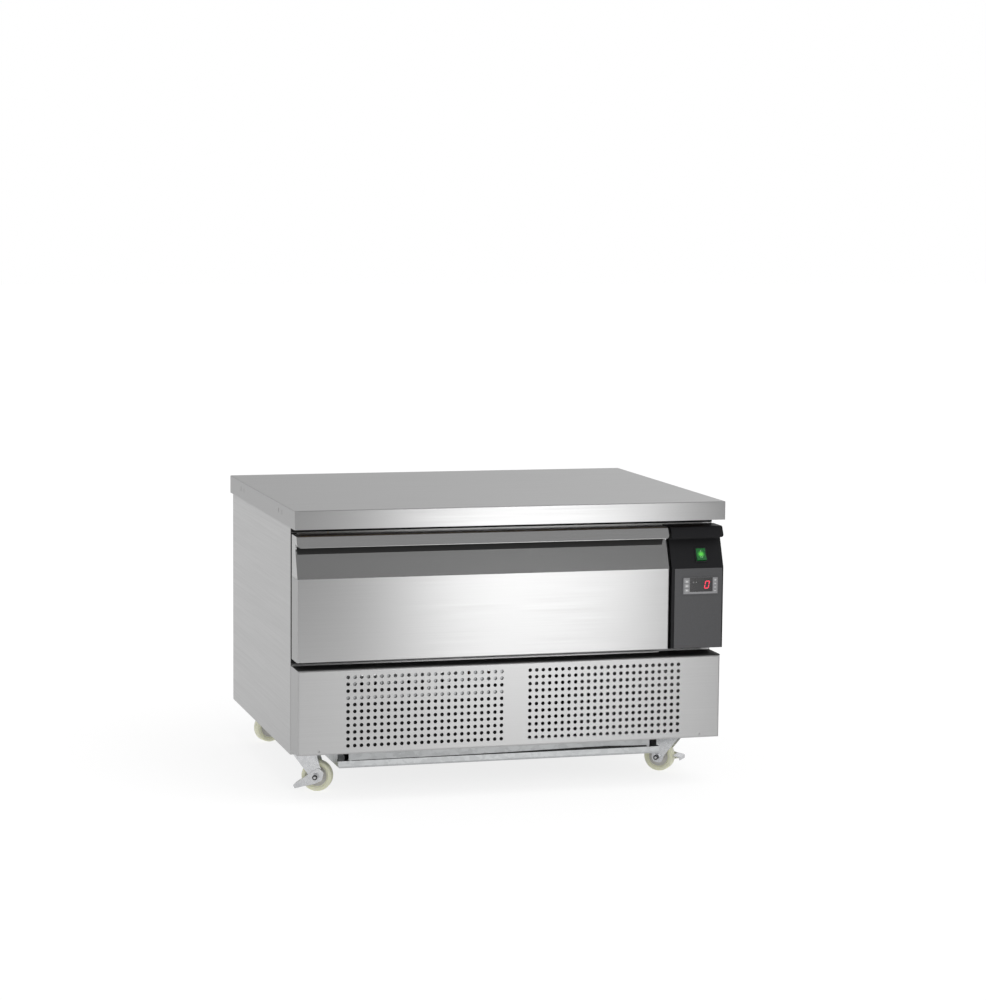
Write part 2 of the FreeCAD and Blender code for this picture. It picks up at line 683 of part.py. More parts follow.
def side_panel():
    """Left outer skin with a return at the front and the back."""
    inner_end = -BODY_HALF + SKIN_RETURN
    line = [(inner_end, BODY_BACK), (-BODY_HALF, BODY_BACK), (-BODY_HALF, FACE), (inner_end, FACE)]
    panel = slab(bent_sheet(line, THIN_SHEET), 0, in_xy(BASE_HEIGHT), V(0, 0, BODY_TOP - BASE_HEIGHT))
    return round_edges(
        panel,
        SKIN_ROUND,
        lambda e: runs_along(e, V(0, 0, 1))
        and abs(e.CenterOfMass.x + BODY_HALF) < 1e-6,
    )


def back_panel():
    """Back skin with two fields of vent slots and the cable hole."""
    outer_y = BODY_BACK - THIN_SHEET - SKIN_GAP
    inner_y = outer_y - THIN_SHEET
    half = SKIN_INSIDE - 4 * THIN_SHEET
    panel = box(-half, half, inner_y, outer_y, BASE_HEIGHT + RAIL_SHEET, BODY_TOP)
    cuts = [Part.makeCylinder(GLAND_RADIUS + SKIN_GAP, 4, V(GLAND_X, inner_y - 1, GLAND_Z), V(0, 1, 0))]
    for centre in VENT_CENTRES:
        for i in range(VENT_SLOTS):
            x = centre + (i - (VENT_SLOTS - 1) / 2) * VENT_PITCH
            z = BASE_HEIGHT + VENT_RISE
            points = rectangle(
                x - VENT_WIDTH / 2, x + VENT_WIDTH / 2,
                z - VENT_LENGTH / 2, z + VENT_LENGTH / 2,
            )
            cuts.append(slab(points, VENT_WIDTH / 2.1, in_xz(inner_y - 1), V(0, 4, 0)))
    return panel.cut(Part.makeCompound(cuts))


def cabinet_floor_plate():
    """Sheet under the insulated box."""
    plate = box(-SKIN_INSIDE, SKIN_INSIDE, FRAME_INSIDE, BACK_INSIDE, BOX_BOTTOM, BOX_BOTTOM + SHEET)
    return plate.cut(pass_holes(BOX_BOTTOM - 1, BOX_BOTTOM + SHEET + 1))


def liner_block(grow):
    """Block of the cold space, grown by the thickness of its lining."""
    return box(
        LINER_LEFT - grow, LINER_RIGHT + grow,
        FRAME_INSIDE, LINER_BACK + grow,
        LINER_BOTTOM - grow, LINER_TOP + grow,
    )


def insulation_foam():
    """Foam round the cold space, open to the front."""
    foam = box(-SKIN_INSIDE, SKIN_INSIDE, FRAME_INSIDE, BACK_INSIDE, BOX_BOTTOM + SHEET, BODY_TOP)
    foam = foam.cut(liner_block(THIN_SHEET))
    return foam.cut(pass_holes(BOX_BOTTOM, LINER_BOTTOM))


def inner_liner():
    """Folded lining of the cold space."""
    liner = liner_block(THIN_SHEET).cut(liner_block(0))
    return liner.cut(pass_holes(LINER_BOTTOM - 2 * THIN_SHEET, LINER_BOTTOM + THIN_SHEET))


def front_frame():
    """Folded stiles and rails round the drawer opening, with open joints between them."""
    deep = FACE + FRAME_RETURN
    edge = BODY_HALF - SKIN_RETURN - SKIN_GAP
    tall = V(0, 0, BODY_TOP - BOX_BOTTOM)
    left = [(-edge, FACE), (OPEN_LEFT, FACE), (OPEN_LEFT, deep)]
    right = [(OPEN_RIGHT, deep), (OPEN_RIGHT, FACE), (edge, FACE)]
    top = [(FACE, BODY_TOP), (FACE, OPEN_TOP), (deep, OPEN_TOP)]
    bottom = [(deep, OPEN_BOTTOM), (FACE, OPEN_BOTTOM), (FACE, BOX_BOTTOM)]
    pieces = []
    for line in (left, right):
        stile = slab(bent_sheet(line, SHEET), 0, in_xy(BOX_BOTTOM), tall)
        for z0, z1 in ((BOX_BOTTOM, OPEN_BOTTOM), (OPEN_TOP, BODY_TOP)):
            stile = stile.cut(box(-edge, edge, FACE + SHEET, deep, z0, z1))
        pieces.append(stile)
    spans = (
        (top, OPEN_LEFT + SEAM, OPEN_RIGHT - SKIN_GAP),
        (bottom, OPEN_LEFT + SEAM, RAIL_JOINT_X - SEAM / 2),
        (bottom, RAIL_JOINT_X + SEAM / 2, OPEN_RIGHT - SKIN_GAP),
    )
    for line, x0, x1 in spans:
        pieces.append(slab(bent_sheet(line, SHEET), 0, in_yz(x0), V(x1 - x0, 0, 0)))
    return Part.makeCompound(pieces)


def caster_spots():
    """Swivel axis and turn of each caster."""
    places = {
        "fl": (-SWIVEL_X, SWIVEL_FRONT_Y),
        "fr": (SWIVEL_X, SWIVEL_FRONT_Y),
        "rl": (-SWIVEL_X, SWIVEL_REAR_Y),
        "rr": (SWIVEL_X, SWIVEL_REAR_Y),
    }
    return {name: (x, y, SWIVEL_ANGLES[name]) for name, (x, y) in places.items()}


def bolt_spots():
    """Middles of all caster bolts."""
    half = BOLT_SPACING / 2
    return [
        (x + dx, y + dy)
        for x, y, turn in caster_spots().values()
        for dx in (-half, half)
        for dy in (-half, half)
    ]


def base_rails():
    """Two side rails with an upright flange, bored for the caster bolts."""
    top = BASE_HEIGHT + RAIL_SHEET
    line = [(-SKIN_INSIDE, BASE_HEIGHT + RAIL_FLANGE), (-SKIN_INSIDE, BASE_HEIGHT)]
    line.append((-SKIN_INSIDE + RAIL_WIDTH, BASE_HEIGHT))
    length = BACK_INSIDE - FRAME_INSIDE
    left = slab(bent_sheet(line, RAIL_SHEET), 0, in_xz(FRAME_INSIDE), V(0, length, 0))
    holes = [
        Part.makeCylinder(BOLT_RADIUS + SKIN_GAP, top - BASE_HEIGHT + 2, V(x, y, BASE_HEIGHT - 1))
        for x, y in bolt_spots()
    ]
    holes = Part.makeCompound(holes)
    return Part.makeCompound([left.cut(holes), mirrored(left, 0).cut(holes)])


def machine_tray():
    """Tray with rounded bottom edges that hangs on the base rails by two hooks."""
    back = TRAY_END
    top = TRAY_TOP
    outer = box(-TRAY_HALF, TRAY_HALF, TRAY_Y, back, TRAY_BOTTOM, top)
    outer = round_edges(outer, TRAY_ROUND, lambda e: abs(e.CenterOfMass.z - TRAY_BOTTOM) < 1e-6)
    inner = box(
        -TRAY_HALF + RAIL_SHEET, TRAY_HALF - RAIL_SHEET,
        TRAY_Y + RAIL_SHEET, back - RAIL_SHEET,
        TRAY_FLOOR, top + TRAY_ROUND,
    )
    inner = round_edges(
        inner, TRAY_ROUND - RAIL_SHEET, lambda e: abs(e.CenterOfMass.z - TRAY_FLOOR) < 1e-6
    )
    step = TRAY_Y + TRAY_STEP
    notch = box(
        -TRAY_HALF - 1, TRAY_HALF + 1,
        TRAY_Y - 1, step,
        TRAY_BOTTOM + TRAY_FRONT_HEIGHT, top + 1,
    )
    hook = box(-RAIL_EDGE - HOOK_LAP, -TRAY_HALF, step, back, top - RAIL_SHEET, top)
    return fused([outer.cut(inner).cut(notch), hook, mirrored(hook, 0)])


def front_baffle():
    """Upright strip on the tray's front that closes the gap under the grille panel."""
    y = TRAY_Y + RAIL_SHEET
    half = TRAY_HALF - BAFFLE_INSET
    return box(
        -half, half, y, y + RAIL_SHEET, TRAY_BOTTOM + BAFFLE_RISE, GRILLE_BOTTOM - BAFFLE_GAP
    )


def grille_panel():
    """Folded panel with two fields of round holes."""
    half = BODY_HALF - GRILLE_INSET
    outer = box(-half, half, FRONT, FACE, GRILLE_BOTTOM, GRILLE_TOP)
    outer = round_edges(
        outer,
        GRILLE_ROUND,
        lambda e: abs(e.CenterOfMass.y - FRONT) < 1e-6,
    )
    inner = box(
        -half + SHEET, half - SHEET,
        FRONT + SHEET, FACE + 1,
        GRILLE_BOTTOM + SHEET, GRILLE_TOP - SHEET,
    )
    inner = round_edges(
        inner, GRILLE_ROUND - SHEET, lambda e: abs(e.CenterOfMass.y - FRONT - SHEET) < 1e-6
    )
    opening = box(
        -half + SHEET, half - SHEET,
        FRONT + GRILLE_LIP, FACE + 1,
        GRILLE_BOTTOM - 1, GRILLE_BOTTOM + 2 * SHEET,
    )
    panel = outer.cut(inner).cut(opening)
    cuts = []
    for centre in HOLE_CENTRES:
        for column in range(HOLE_COLUMNS):
            for row in range(HOLE_ROWS):
                x = centre + (column - (HOLE_COLUMNS - 1) / 2) * HOLE_PITCH
                z = GRILLE_BOTTOM + HOLE_RISE + (row - (HOLE_ROWS - 1) / 2) * HOLE_PITCH
                cuts.append(Part.makeCylinder(HOLE_DIAMETER / 2, 4, V(x, FRONT - 1, z), V(0, 1, 0)))
    for x in (-SCREW_X, SCREW_X):
        spot = V(x, FRONT, GRILLE_BOTTOM + SCREW_RISE)
        sink = Part.makeCone(SCREW_HEAD + SKIN_GAP, SCREW_SHANK + SKIN_GAP, SHEET, spot, V(0, 1, 0))
        cuts.append(sink)
    return panel.cut(Part.makeCompound(cuts))


def grille_screws():
    """Two countersunk screws near the panel's lower edge, each with a thin nut behind the sheet."""
    screws = []
    along = V(0, 1, 0)
    for x in (-SCREW_X, SCREW_X):
        spot = V(x, FRONT, GRILLE_BOTTOM + SCREW_RISE)
        head = Part.makeCone(SCREW_HEAD, SCREW_SHANK, SHEET, spot, along)
        shank = Part.makeCylinder(SCREW_SHANK, SCREW_LENGTH - SHEET, spot + along * SHEET, along)
        nut = Part.makeCylinder(SCREW_NUT, SHEET, spot + along * SHEET, along)
        screws.append(fused([head, shank, nut]))
    return Part.makeCompound(screws)


def drawer_front_panel():
    """Folded face of the drawer below the grip, open at the top and the back."""
    outer = box(DRAWER_LEFT, DRAWER_RIGHT, FRONT, DRAWER_BACK, DRAWER_BOTTOM, FLAT_TOP)
    outer = round_edges(
        outer,
        PANEL_ROUND,
        lambda e: abs(e.CenterOfMass.y - FRONT) < 1e-6 and e.CenterOfMass.z < FLAT_TOP - 1,
    )
    inner = box(
        DRAWER_LEFT + SHEET, DRAWER_RIGHT - SHEET,
        FRONT + SHEET, DRAWER_BACK + 1,
        DRAWER_BOTTOM + SHEET, FLAT_TOP + 1,
    )
    return outer.cut(inner)


def drawer_handle():
    """Hollow grip profile between the two end caps."""
    x0 = DRAWER_LEFT + CAP_LENGTH
    span = V(DRAWER_WIDTH - 2 * CAP_LENGTH, 0, 0)
    face = Part.Face(front_section(x0, FLAT_TOP, FRONT, DRAWER_BACK, True))
    hollow = face.makeOffset2D(-HANDLE_WALL)
    return face.extrude(span).cut(hollow.extrude(span))


def handle_end_cap():
    """Left end of the grip, its lip rounded off at the lower corner."""
    face = Part.Face(front_section(DRAWER_LEFT, FLAT_TOP, FRONT, DRAWER_BACK, False))
    cap = face.extrude(V(CAP_LENGTH, 0, 0))
    cap = round_edges(cap, CAP_EDGE, lambda e: abs(e.BoundBox.XMax - DRAWER_LEFT) < 1e-6)
    inside = DRAWER_LEFT + CAP_WALL
    whole = Part.Face(front_section(inside, FLAT_TOP, FRONT, DRAWER_BACK, False))
    cored = Part.Face(front_section(inside, FLAT_TOP, FRONT, DRAWER_BACK, True))
    reach = V(CAP_LENGTH, 0, 0)
    cap = cap.cut(whole.extrude(reach).cut(cored.extrude(reach)))
    return cap.cut(lip_corner(DRAWER_LEFT, -1, FRONT, CAP_ROUND))


def handle_end_caps():
    """Both ends of the grip."""
    cap = handle_end_cap()
    return Part.makeCompound([cap, mirrored(cap, (DRAWER_LEFT + DRAWER_RIGHT) / 2)])


def drawer_front_foam():
    """Foam inside the drawer's face and inside its grip."""
    inset = SHEET + FOAM_FIT
    lower = box(
        DRAWER_LEFT + inset, DRAWER_RIGHT - inset,
        FRONT + inset, DRAWER_BACK,
        DRAWER_BOTTOM + inset, FLAT_TOP,
    )
    x0 = DRAWER_LEFT + CAP_LENGTH
    face = Part.Face(front_section(x0, FLAT_TOP, FRONT, DRAWER_BACK, True))
    core = face.makeOffset2D(-HANDLE_WALL - FOAM_FIT)
    upper = core.extrude(V(DRAWER_WIDTH - 2 * CAP_LENGTH, 0, 0))
    return Part.makeCompound([lower, upper])


def drawer_inner_panel():
    """Rounded plate behind the drawer's face."""
    margin = GASKET_MARGIN
    points = rectangle(
        DRAWER_LEFT + margin, DRAWER_RIGHT - margin / 2,
        DRAWER_BOTTOM + margin, DRAWER_TOP - margin / 2,
    )
    return slab(points, PANEL_ROUND, in_xz(DRAWER_BACK), V(0, INNER_PANEL, 0))


def ring(a0, a1, b0, b1, inset, width, corner, y, thickness):
    """Rounded frame of one width on a plane that faces the front."""
    points = rectangle(a0 + inset, a1 - inset, b0 + inset, b1 - inset)
    inner = rectangle(
        a0 + inset + width, a1 - inset - width,
        b0 + inset + width, b1 - inset - width,
    )
    outer = slab(points, corner, in_xz(y), V(0, thickness, 0))
    return outer.cut(slab(inner, max(corner - width, 1.0), in_xz(y), V(0, thickness, 0)))


def drawer_gasket():
    """Stepped seal round the opening."""
    limits = (
        OPEN_LEFT - GASKET_MARGIN * 2 - GASKET_WIDTH, DRAWER_RIGHT - GASKET_MARGIN,
        DRAWER_BOTTOM + GASKET_MARGIN, DRAWER_TOP - GASKET_MARGIN,
    )
    base = ring(*limits, 0, GASKET_WIDTH, GASKET_ROUND, DRAWER_INSIDE, GASKET_BASE)
    step = (GASKET_WIDTH - GASKET_TIP) / 2
    tip = ring(
        *limits, step, GASKET_TIP, GASKET_ROUND - step,
        DRAWER_INSIDE + GASKET_BASE, GASKET_THICKNESS - GASKET_BASE,
    )
    return fused([base, tip])


def drawer_frame():
    """Carrier welded from two side rails, two cross bars and a divider, with ledges for two food pans."""
    x0 = OPEN_MIDDLE - CARRIER_HALF
    x1 = OPEN_MIDDLE + CARRIER_HALF
    y0 = DRAWER_INSIDE
    y1 = DRAWER_INSIDE + CARRIER_LENGTH
    under = CARRIER_TOP - RAIL_SHEET
    low = CARRIER_TOP - CARRIER_DEPTH
    side = fused(
        [
            box(x0 - CARRIER_LEDGE, x0 + PAN_LEDGE, y0, y1, under, CARRIER_TOP),
            box(x0, x0 + RAIL_SHEET, y0, y1, low, under),
        ]
    )
    pieces = [side, mirrored(side, OPEN_MIDDLE)]
    bay = y0 + PAN_BAY_FRONT
    end = bay + PAN_BAY_LENGTH
    for ledge0, ledge1, skirt in ((y0, bay, y0), (end, y1, y1 - RAIL_SHEET)):
        bar = [
            box(x0 + PAN_LEDGE, x1 - PAN_LEDGE, ledge0, ledge1, under, CARRIER_TOP),
            box(x0 + RAIL_SHEET, x1 - RAIL_SHEET, skirt, skirt + RAIL_SHEET, low, under),
        ]
        pieces.append(fused(bar))
    half = DIVIDER / 2
    deep = CARRIER_TOP - DIVIDER_DEPTH
    pieces.append(box(OPEN_MIDDLE - half, OPEN_MIDDLE + half, bay, end, deep, CARRIER_TOP))
    return Part.makeCompound(pieces)


def channel(web, tip, height, y0, length):
    """Upright channel with its web at one side and its flanges towards the other."""
    z0 = RUNNER_MIDDLE - height / 2
    z1 = RUNNER_MIDDLE + height / 2
    line = [(tip, z1), (web, z1), (web, z0), (tip, z0)]
    if web > tip:
        line = line[::-1]
    return slab(bent_sheet(line, RAIL_SHEET), 0, in_xz(y0), V(0, length, 0))


def pair(shape):
    """A runner member and its opposite number."""
    return Part.makeCompound([shape, mirrored(shape, OPEN_MIDDLE)])


def cabinet_runners():
    """Fixed members of the runners."""
    return pair(
        channel(
            LINER_LEFT, LINER_LEFT + RUNNER_FLANGE, RUNNER_HEIGHT, FACE + RUNNER_FRONT, RUNNER_LENGTH
        )
    )


def middle_runners():
    """Members that travel half as far as the drawer."""
    web = LINER_LEFT + MIDDLE_SETBACK
    height = RUNNER_HEIGHT - 2 * RAIL_SHEET - 2 * SLIDE_GAP
    return pair(channel(web, web + RUNNER_FLANGE, height, FACE + RUNNER_FRONT, RUNNER_LENGTH))


def drawer_runners():
    """Members fixed to the drawer's carrier."""
    web = OPEN_MIDDLE - CARRIER_HALF
    height = RUNNER_HEIGHT - 4 * RAIL_SHEET - 4 * SLIDE_GAP
    return pair(channel(web, web - INNER_FLANGE, height, DRAWER_INSIDE, RUNNER_LENGTH))


def switch_frame(shape):
    """Shape drawn flat, moved to the switch's place on the slope."""
    shape.Placement = FreeCAD.Placement(
        V(SWITCH_X, SWITCH_Y, SWITCH_Z), FreeCAD.Rotation(V(1, 0, 0), 90 - SLOPE_TILT)
    )
    return shape


def centred_box(width, length, z0, z1):
    """Block centred on the upright axis."""
    return box(-width / 2, width / 2, -length / 2, length / 2, z0, z1)


def control_housing():
    """Hollow moulding in line with the drawer's front, with two cut-outs."""
    face = Part.Face(front_section(CONTROL_LEFT, DRAWER_BOTTOM, CONTROL_FACE, FACE, False))
    start = CONTROL_LEFT + HOUSING_WALL
    deep = Part.Face(
        front_section(start, DRAWER_BOTTOM, CONTROL_FACE, FACE + 2 * HOUSING_WALL, False)
    )
    width = CONTROL_RIGHT - CONTROL_LEFT
    outer = face.extrude(V(width, 0, 0)).cut(lip_corner(CONTROL_RIGHT, 1, CONTROL_FACE, HOUSING_ROUND))
    hollow = deep.makeOffset2D(-HOUSING_WALL).extrude(V(width - 2 * HOUSING_WALL, 0, 0))
    hole = centred_box(
        SWITCH_WIDTH - SWITCH_BEZEL + SWITCH_FIT * 2,
        SWITCH_LENGTH - SWITCH_BEZEL + SWITCH_FIT * 2,
        -2 * HOUSING_WALL, SWITCH_BEZEL,
    )
    return outer.cut(hollow).cut(switch_frame(hole)).cut(case_opening())


def case_opening():
    """Opening for the controller's case in the housing and the fascia."""
    half_width = CASE_WIDTH / 2 + CASE_FIT
    half_height = CASE_HEIGHT / 2 + CASE_FIT
    return box(
        CONTROLLER_X - half_width, CONTROLLER_X + half_width,
        FRONT - 1, CONTROL_FACE + 2 * HOUSING_WALL,
        CONTROLLER_Z - half_height, CONTROLLER_Z + half_height,
    )


def control_fascia():
    """Thin plate on the housing's flat face."""
    points = rectangle(
        CONTROL_LEFT + FASCIA_LEFT, CONTROL_RIGHT - FASCIA_RIGHT,
        DRAWER_BOTTOM + FASCIA_MARGIN, FLAT_TOP - FASCIA_MARGIN,
    )
    plate = slab(points, FASCIA_MARGIN, in_xz(CONTROL_FACE - FASCIA), V(0, FASCIA, 0))
    return plate.cut(case_opening())


def switch_body():
    """Switch with a bezel, a well for the rocker and two pivot holes."""
    points = rectangle(-SWITCH_WIDTH / 2, SWITCH_WIDTH / 2, -SWITCH_LENGTH / 2, SWITCH_LENGTH / 2)
    bezel = slab(points, SWITCH_BEZEL, in_xy(0), V(0, 0, SWITCH_BEZEL))
    bezel = round_edges(
        bezel, SWITCH_BEZEL / 4, lambda e: abs(e.CenterOfMass.z - SWITCH_BEZEL) < 1e-6
    )
    body = centred_box(SWITCH_WIDTH - SWITCH_BEZEL, SWITCH_LENGTH - SWITCH_BEZEL, -SWITCH_DEPTH, 0)
    well = centred_box(WELL_WIDTH, WELL_LENGTH, -WELL_DEPTH, SWITCH_BEZEL + 1)
    reach = WELL_WIDTH / 2 + PIVOT_LENGTH
    holes = rod(
        V(-reach, 0, -PIVOT_DEPTH), V(reach, 0, -PIVOT_DEPTH), PIVOT_RADIUS + SHAFT_GAP
    )
    return switch_frame(fused([bezel, body]).cut(well).cut(holes))


def rocker_button():
    """Lit rocker with a waisted top and two pivot pins, tipped in at its upper half."""
    half = ROCKER_LENGTH / 2
    waist = ROCKER_WAIST - PIVOT_DEPTH
    tip = ROCKER_TIP - PIVOT_DEPTH
    points = [
        (-half, tip), (-half, -PIVOT_DEPTH), (-half / 2, -PIVOT_DEPTH - ROCKER_KEEL),
        (half / 2, -PIVOT_DEPTH - ROCKER_KEEL), (half, -PIVOT_DEPTH), (half, tip), (0, waist),
    ]
    radii = [1.0, 1.0, 1.0, 1.0, 1.0, 1.0, half]
    body = slab(points, radii, in_yz(-ROCKER_WIDTH / 2), V(ROCKER_WIDTH, 0, 0))
    reach = ROCKER_WIDTH / 2 + PIVOT_LENGTH
    pins = rod(V(-reach, 0, -PIVOT_DEPTH), V(reach, 0, -PIVOT_DEPTH), PIVOT_RADIUS)
    rocker = fused([body, pins])
    rocker.rotate(V(0, 0, -PIVOT_DEPTH), V(1, 0, 0), -ROCKER_TILT)
    turned = rocker.copy()
    turned.Placement = FreeCAD.Placement(
        V(SWITCH_X, SWITCH_Y, SWITCH_Z), FreeCAD.Rotation(V(1, 0, 0), 90 - SLOPE_TILT)
    ).multiply(rocker.Placement)
    return turned


def key_block(row, grow, thickness):
    """Block of one key, or of its well when grown."""
    x = CONTROLLER_X + KEY_X
    z = CONTROLLER_Z + row * KEY_PITCH
    points = rectangle(
        x - KEY_WIDTH / 2 - grow, x + KEY_WIDTH / 2 + grow,
        z - KEY_HEIGHT / 2 - grow, z + KEY_HEIGHT / 2 + grow,
    )
    return slab(points, 1.0 + grow, in_xz(CONTROLLER_FRONT), V(0, thickness, 0))


def window_block(fit, depth):
    """Block of the display window, or of its recess."""
    x = CONTROLLER_X + WINDOW_X
    z = CONTROLLER_Z + WINDOW_RISE
    half_width = WINDOW_WIDTH / 2 - fit
    half_height = WINDOW_HEIGHT / 2 - fit
    points = rectangle(x - half_width, x + half_width, z - half_height, z + half_height)
    return slab(points, 1.0, in_xz(CONTROLLER_FRONT), V(0, depth, 0))


def controller_body():
    """Controller with a bezel, a window recess and three key wells."""
    half_width = CONTROLLER_WIDTH / 2
    half_height = CONTROLLER_HEIGHT / 2
    points = rectangle(
        CONTROLLER_X - half_width, CONTROLLER_X + half_width,
        CONTROLLER_Z - half_height, CONTROLLER_Z + half_height,
    )
    seat = CONTROL_FACE - FASCIA
    bezel = slab(points, CONTROLLER_ROUND, in_xz(CONTROLLER_FRONT), V(0, seat - CONTROLLER_FRONT, 0))
    bezel = round_edges(bezel, 0.4, lambda e: abs(e.BoundBox.YMax - CONTROLLER_FRONT) < 1e-6)
    case = box(
        CONTROLLER_X - CASE_WIDTH / 2, CONTROLLER_X + CASE_WIDTH / 2,
        seat, seat + CASE_DEPTH,
        CONTROLLER_Z - CASE_HEIGHT / 2, CONTROLLER_Z + CASE_HEIGHT / 2,
    )
    body = fused([bezel, case]).cut(window_block(0, WINDOW_DEPTH))
    for row in (-1, 0, 1):
        body = body.cut(key_block(row, KEY_GAP, KEY_WELL))
    return body


def evaporator_baffle():
    """Upright plate that carries a runner, with the fan mouth and return slots."""
    plate = box(
        BAFFLE_X, BAFFLE_X + SHEET,
        FACE + FRAME_RETURN + SKIN_GAP, LINER_BACK,
        LINER_BOTTOM, LINER_TOP,
    )
    cuts = [Part.makeCylinder(FAN_MOUTH, 4, V(BAFFLE_X - 1, FAN_Y, FAN_Z), V(1, 0, 0))]
    for i in range(RETURN_SLOTS):
        y = RETURN_Y + i * RETURN_PITCH
        points = rectangle(
            y - RETURN_WIDTH / 2, y + RETURN_WIDTH / 2,
            RETURN_Z - RETURN_LENGTH / 2, RETURN_Z + RETURN_LENGTH / 2,
        )
        cuts.append(slab(points, RETURN_WIDTH / 2.1, in_yz(BAFFLE_X - 1), V(4, 0, 0)))
    return plate.cut(Part.makeCompound(cuts))


def coil(length, fins, columns, rows, column_pitch, row_pitch, edge, stubs):
    """Fins on rows of tubes with return bends; the stubs run on at the far end.

    The tubes run along X from the near end, columns along Y and rows up Z.
    """
    depth = column_pitch * (columns - 1)
    height = row_pitch * (rows - 1)
    spots = [(c * column_pitch, r * row_pitch) for c in range(columns) for r in range(rows)]
    outline = loop(rectangle(-edge, depth + edge, -edge, height + edge), 2.0, in_yz(0))
    leaf = Part.Face(outline)
    pieces = []
    for i in range(fins):
        thickness = FIN
        if i in (0, fins - 1):
            thickness = END_PLATE
        fin = leaf.extrude(V(thickness, 0, 0))
        fin.translate(V(i * (length - END_PLATE) / (fins - 1), 0, 0))
        pieces.append(fin)
    for y, z in spots:
        pieces.append(rod(V(0, y, z), V(length, y, z), COIL_TUBE))
    for y, z in stubs:
        pieces.append(rod(V(length - 1, y, z), V(length + COIL_STUB, y, z), COIL_TUBE))
    for column in range(columns):
        y = column * column_pitch
        for row in range(rows - 1):
            z = row * row_pitch
            x = 0
            turn = -180
            if row % 2 == 1:
                x = length
                turn = 180
            disc = Part.Face(Part.Wire(Part.makeCircle(COIL_TUBE, V(x, y, z), V(1, 0, 0))))
            pieces.append(disc.revolve(V(x, y, z + row_pitch / 2), V(0, -1, 0), turn))
    return fused(pieces)


def evaporator_coil():
    """Coil in the alcove, its tubes from front to back."""
    stubs = [
        (-EVAPORATOR_COLUMN_PITCH, EVAPORATOR_ROW_PITCH * (EVAPORATOR_ROWS - 1)),
        (0, 0),
    ]
    shift = EVAPORATOR_COLUMN_PITCH * (EVAPORATOR_COLUMNS - 1)
    shape = coil(
        EVAPORATOR_LENGTH, EVAPORATOR_FINS, EVAPORATOR_COLUMNS, EVAPORATOR_ROWS,
        EVAPORATOR_COLUMN_PITCH, EVAPORATOR_ROW_PITCH, EVAPORATOR_EDGE,
        [(-y, z) for y, z in stubs],
    )
    shape.rotate(V(0, 0, 0), V(0, 0, 1), 90)
    shape.translate(V(EVAPORATOR_X + shift, EVAPORATOR_Y, EVAPORATOR_BOTTOM))
    rest = EVAPORATOR_BOTTOM - EVAPORATOR_EDGE
    feet = []
    for y in (EVAPORATOR_Y, EVAPORATOR_Y + EVAPORATOR_LENGTH - END_PLATE):
        feet.append(
            box(
                EVAPORATOR_X, EVAPORATOR_X + shift,
                y, y + END_PLATE,
                LINER_BOTTOM, rest + END_PLATE,
            )
        )
    return fused([shape] + feet)


def fan_wheel(radius, hub_radius, hub_length, bore, blades, chord, root_pitch, tip_pitch):
    """Hub with twisted blades, turning about the Z axis, its face at zero height."""
    hub = Part.makeCylinder(hub_radius, hub_length)
    hub = round_edges(hub, 2.0, lambda e: abs(e.CenterOfMass.z) < 1e-6 and len(e.Vertexes) == 1)
    pieces = [hub]
    for i in range(blades):
        sections = []
        for reach, pitch in ((hub_radius - 3, root_pitch), (radius, tip_pitch)):
            along = V(0, math.cos(math.radians(pitch)), math.sin(math.radians(pitch))) * (chord / 2)
            across = V(0, -math.sin(math.radians(pitch)), math.cos(math.radians(pitch))) * 0.8
            middle = V(reach, 0, hub_length / 2)
            points = [
                middle - along - across, middle + along - across,
                middle + along + across, middle - along + across,
            ]
            sections.append(Part.makePolygon(points + points[:1]))
        blade = Part.makeLoft(sections, True, True)
        blade.rotate(V(0, 0, 0), V(0, 0, 1), 360.0 * i / blades)
        pieces.append(blade)
    wheel = fused(pieces)
    return wheel.cut(Part.makeCylinder(bore, hub_length + 2, V(0, 0, -1)))


def evaporator_fan_frame():
    """Square fan frame with its motor on four struts and a shaft."""
    x0 = BAFFLE_X + SHEET
    x1 = x0 + FAN_DEPTH
    half = FAN_SIZE / 2
    points = rectangle(FAN_Y - half, FAN_Y + half, FAN_Z - half, FAN_Z + half)
    frame = slab(points, 5, in_yz(x0), V(FAN_DEPTH, 0, 0))
    middle = V(x0, FAN_Y, FAN_Z)
    frame = frame.cut(Part.makeCylinder(FAN_MOUTH, FAN_DEPTH + 2, middle - V(1, 0, 0), V(1, 0, 0)))
    pieces = [frame]
    pieces.append(rod(V(x1 - FAN_STRUT, FAN_Y, FAN_Z), V(x1, FAN_Y, FAN_Z), FAN_HUB))
    pieces.append(rod(V(x0 + 4, FAN_Y, FAN_Z), V(x1, FAN_Y, FAN_Z), SHAFT_RADIUS))
    for turn in (45, 135):
        strut = box(x1 - FAN_STRUT, x1, -FAN_MOUTH - 2, FAN_MOUTH + 2, -2, 2)
        strut.rotate(V(0, 0, 0), V(1, 0, 0), turn)
        strut.translate(V(0, FAN_Y, FAN_Z))
        pieces.append(strut)
    return fused(pieces)


def evaporator_fan_blade():
    """Seven-bladed fan wheel on the evaporator fan's shaft."""
    wheel = fan_wheel(
        FAN_MOUTH - 3, FAN_HUB, FAN_DEPTH - 8 - FAN_STRUT, SHAFT_RADIUS + SHAFT_GAP, 7, 24, 36, 26
    )
    wheel.rotate(V(0, 0, 0), V(0, 1, 0), 90)
    wheel.translate(V(BAFFLE_X + SHEET + 6, FAN_Y, FAN_Z))
    return wheel


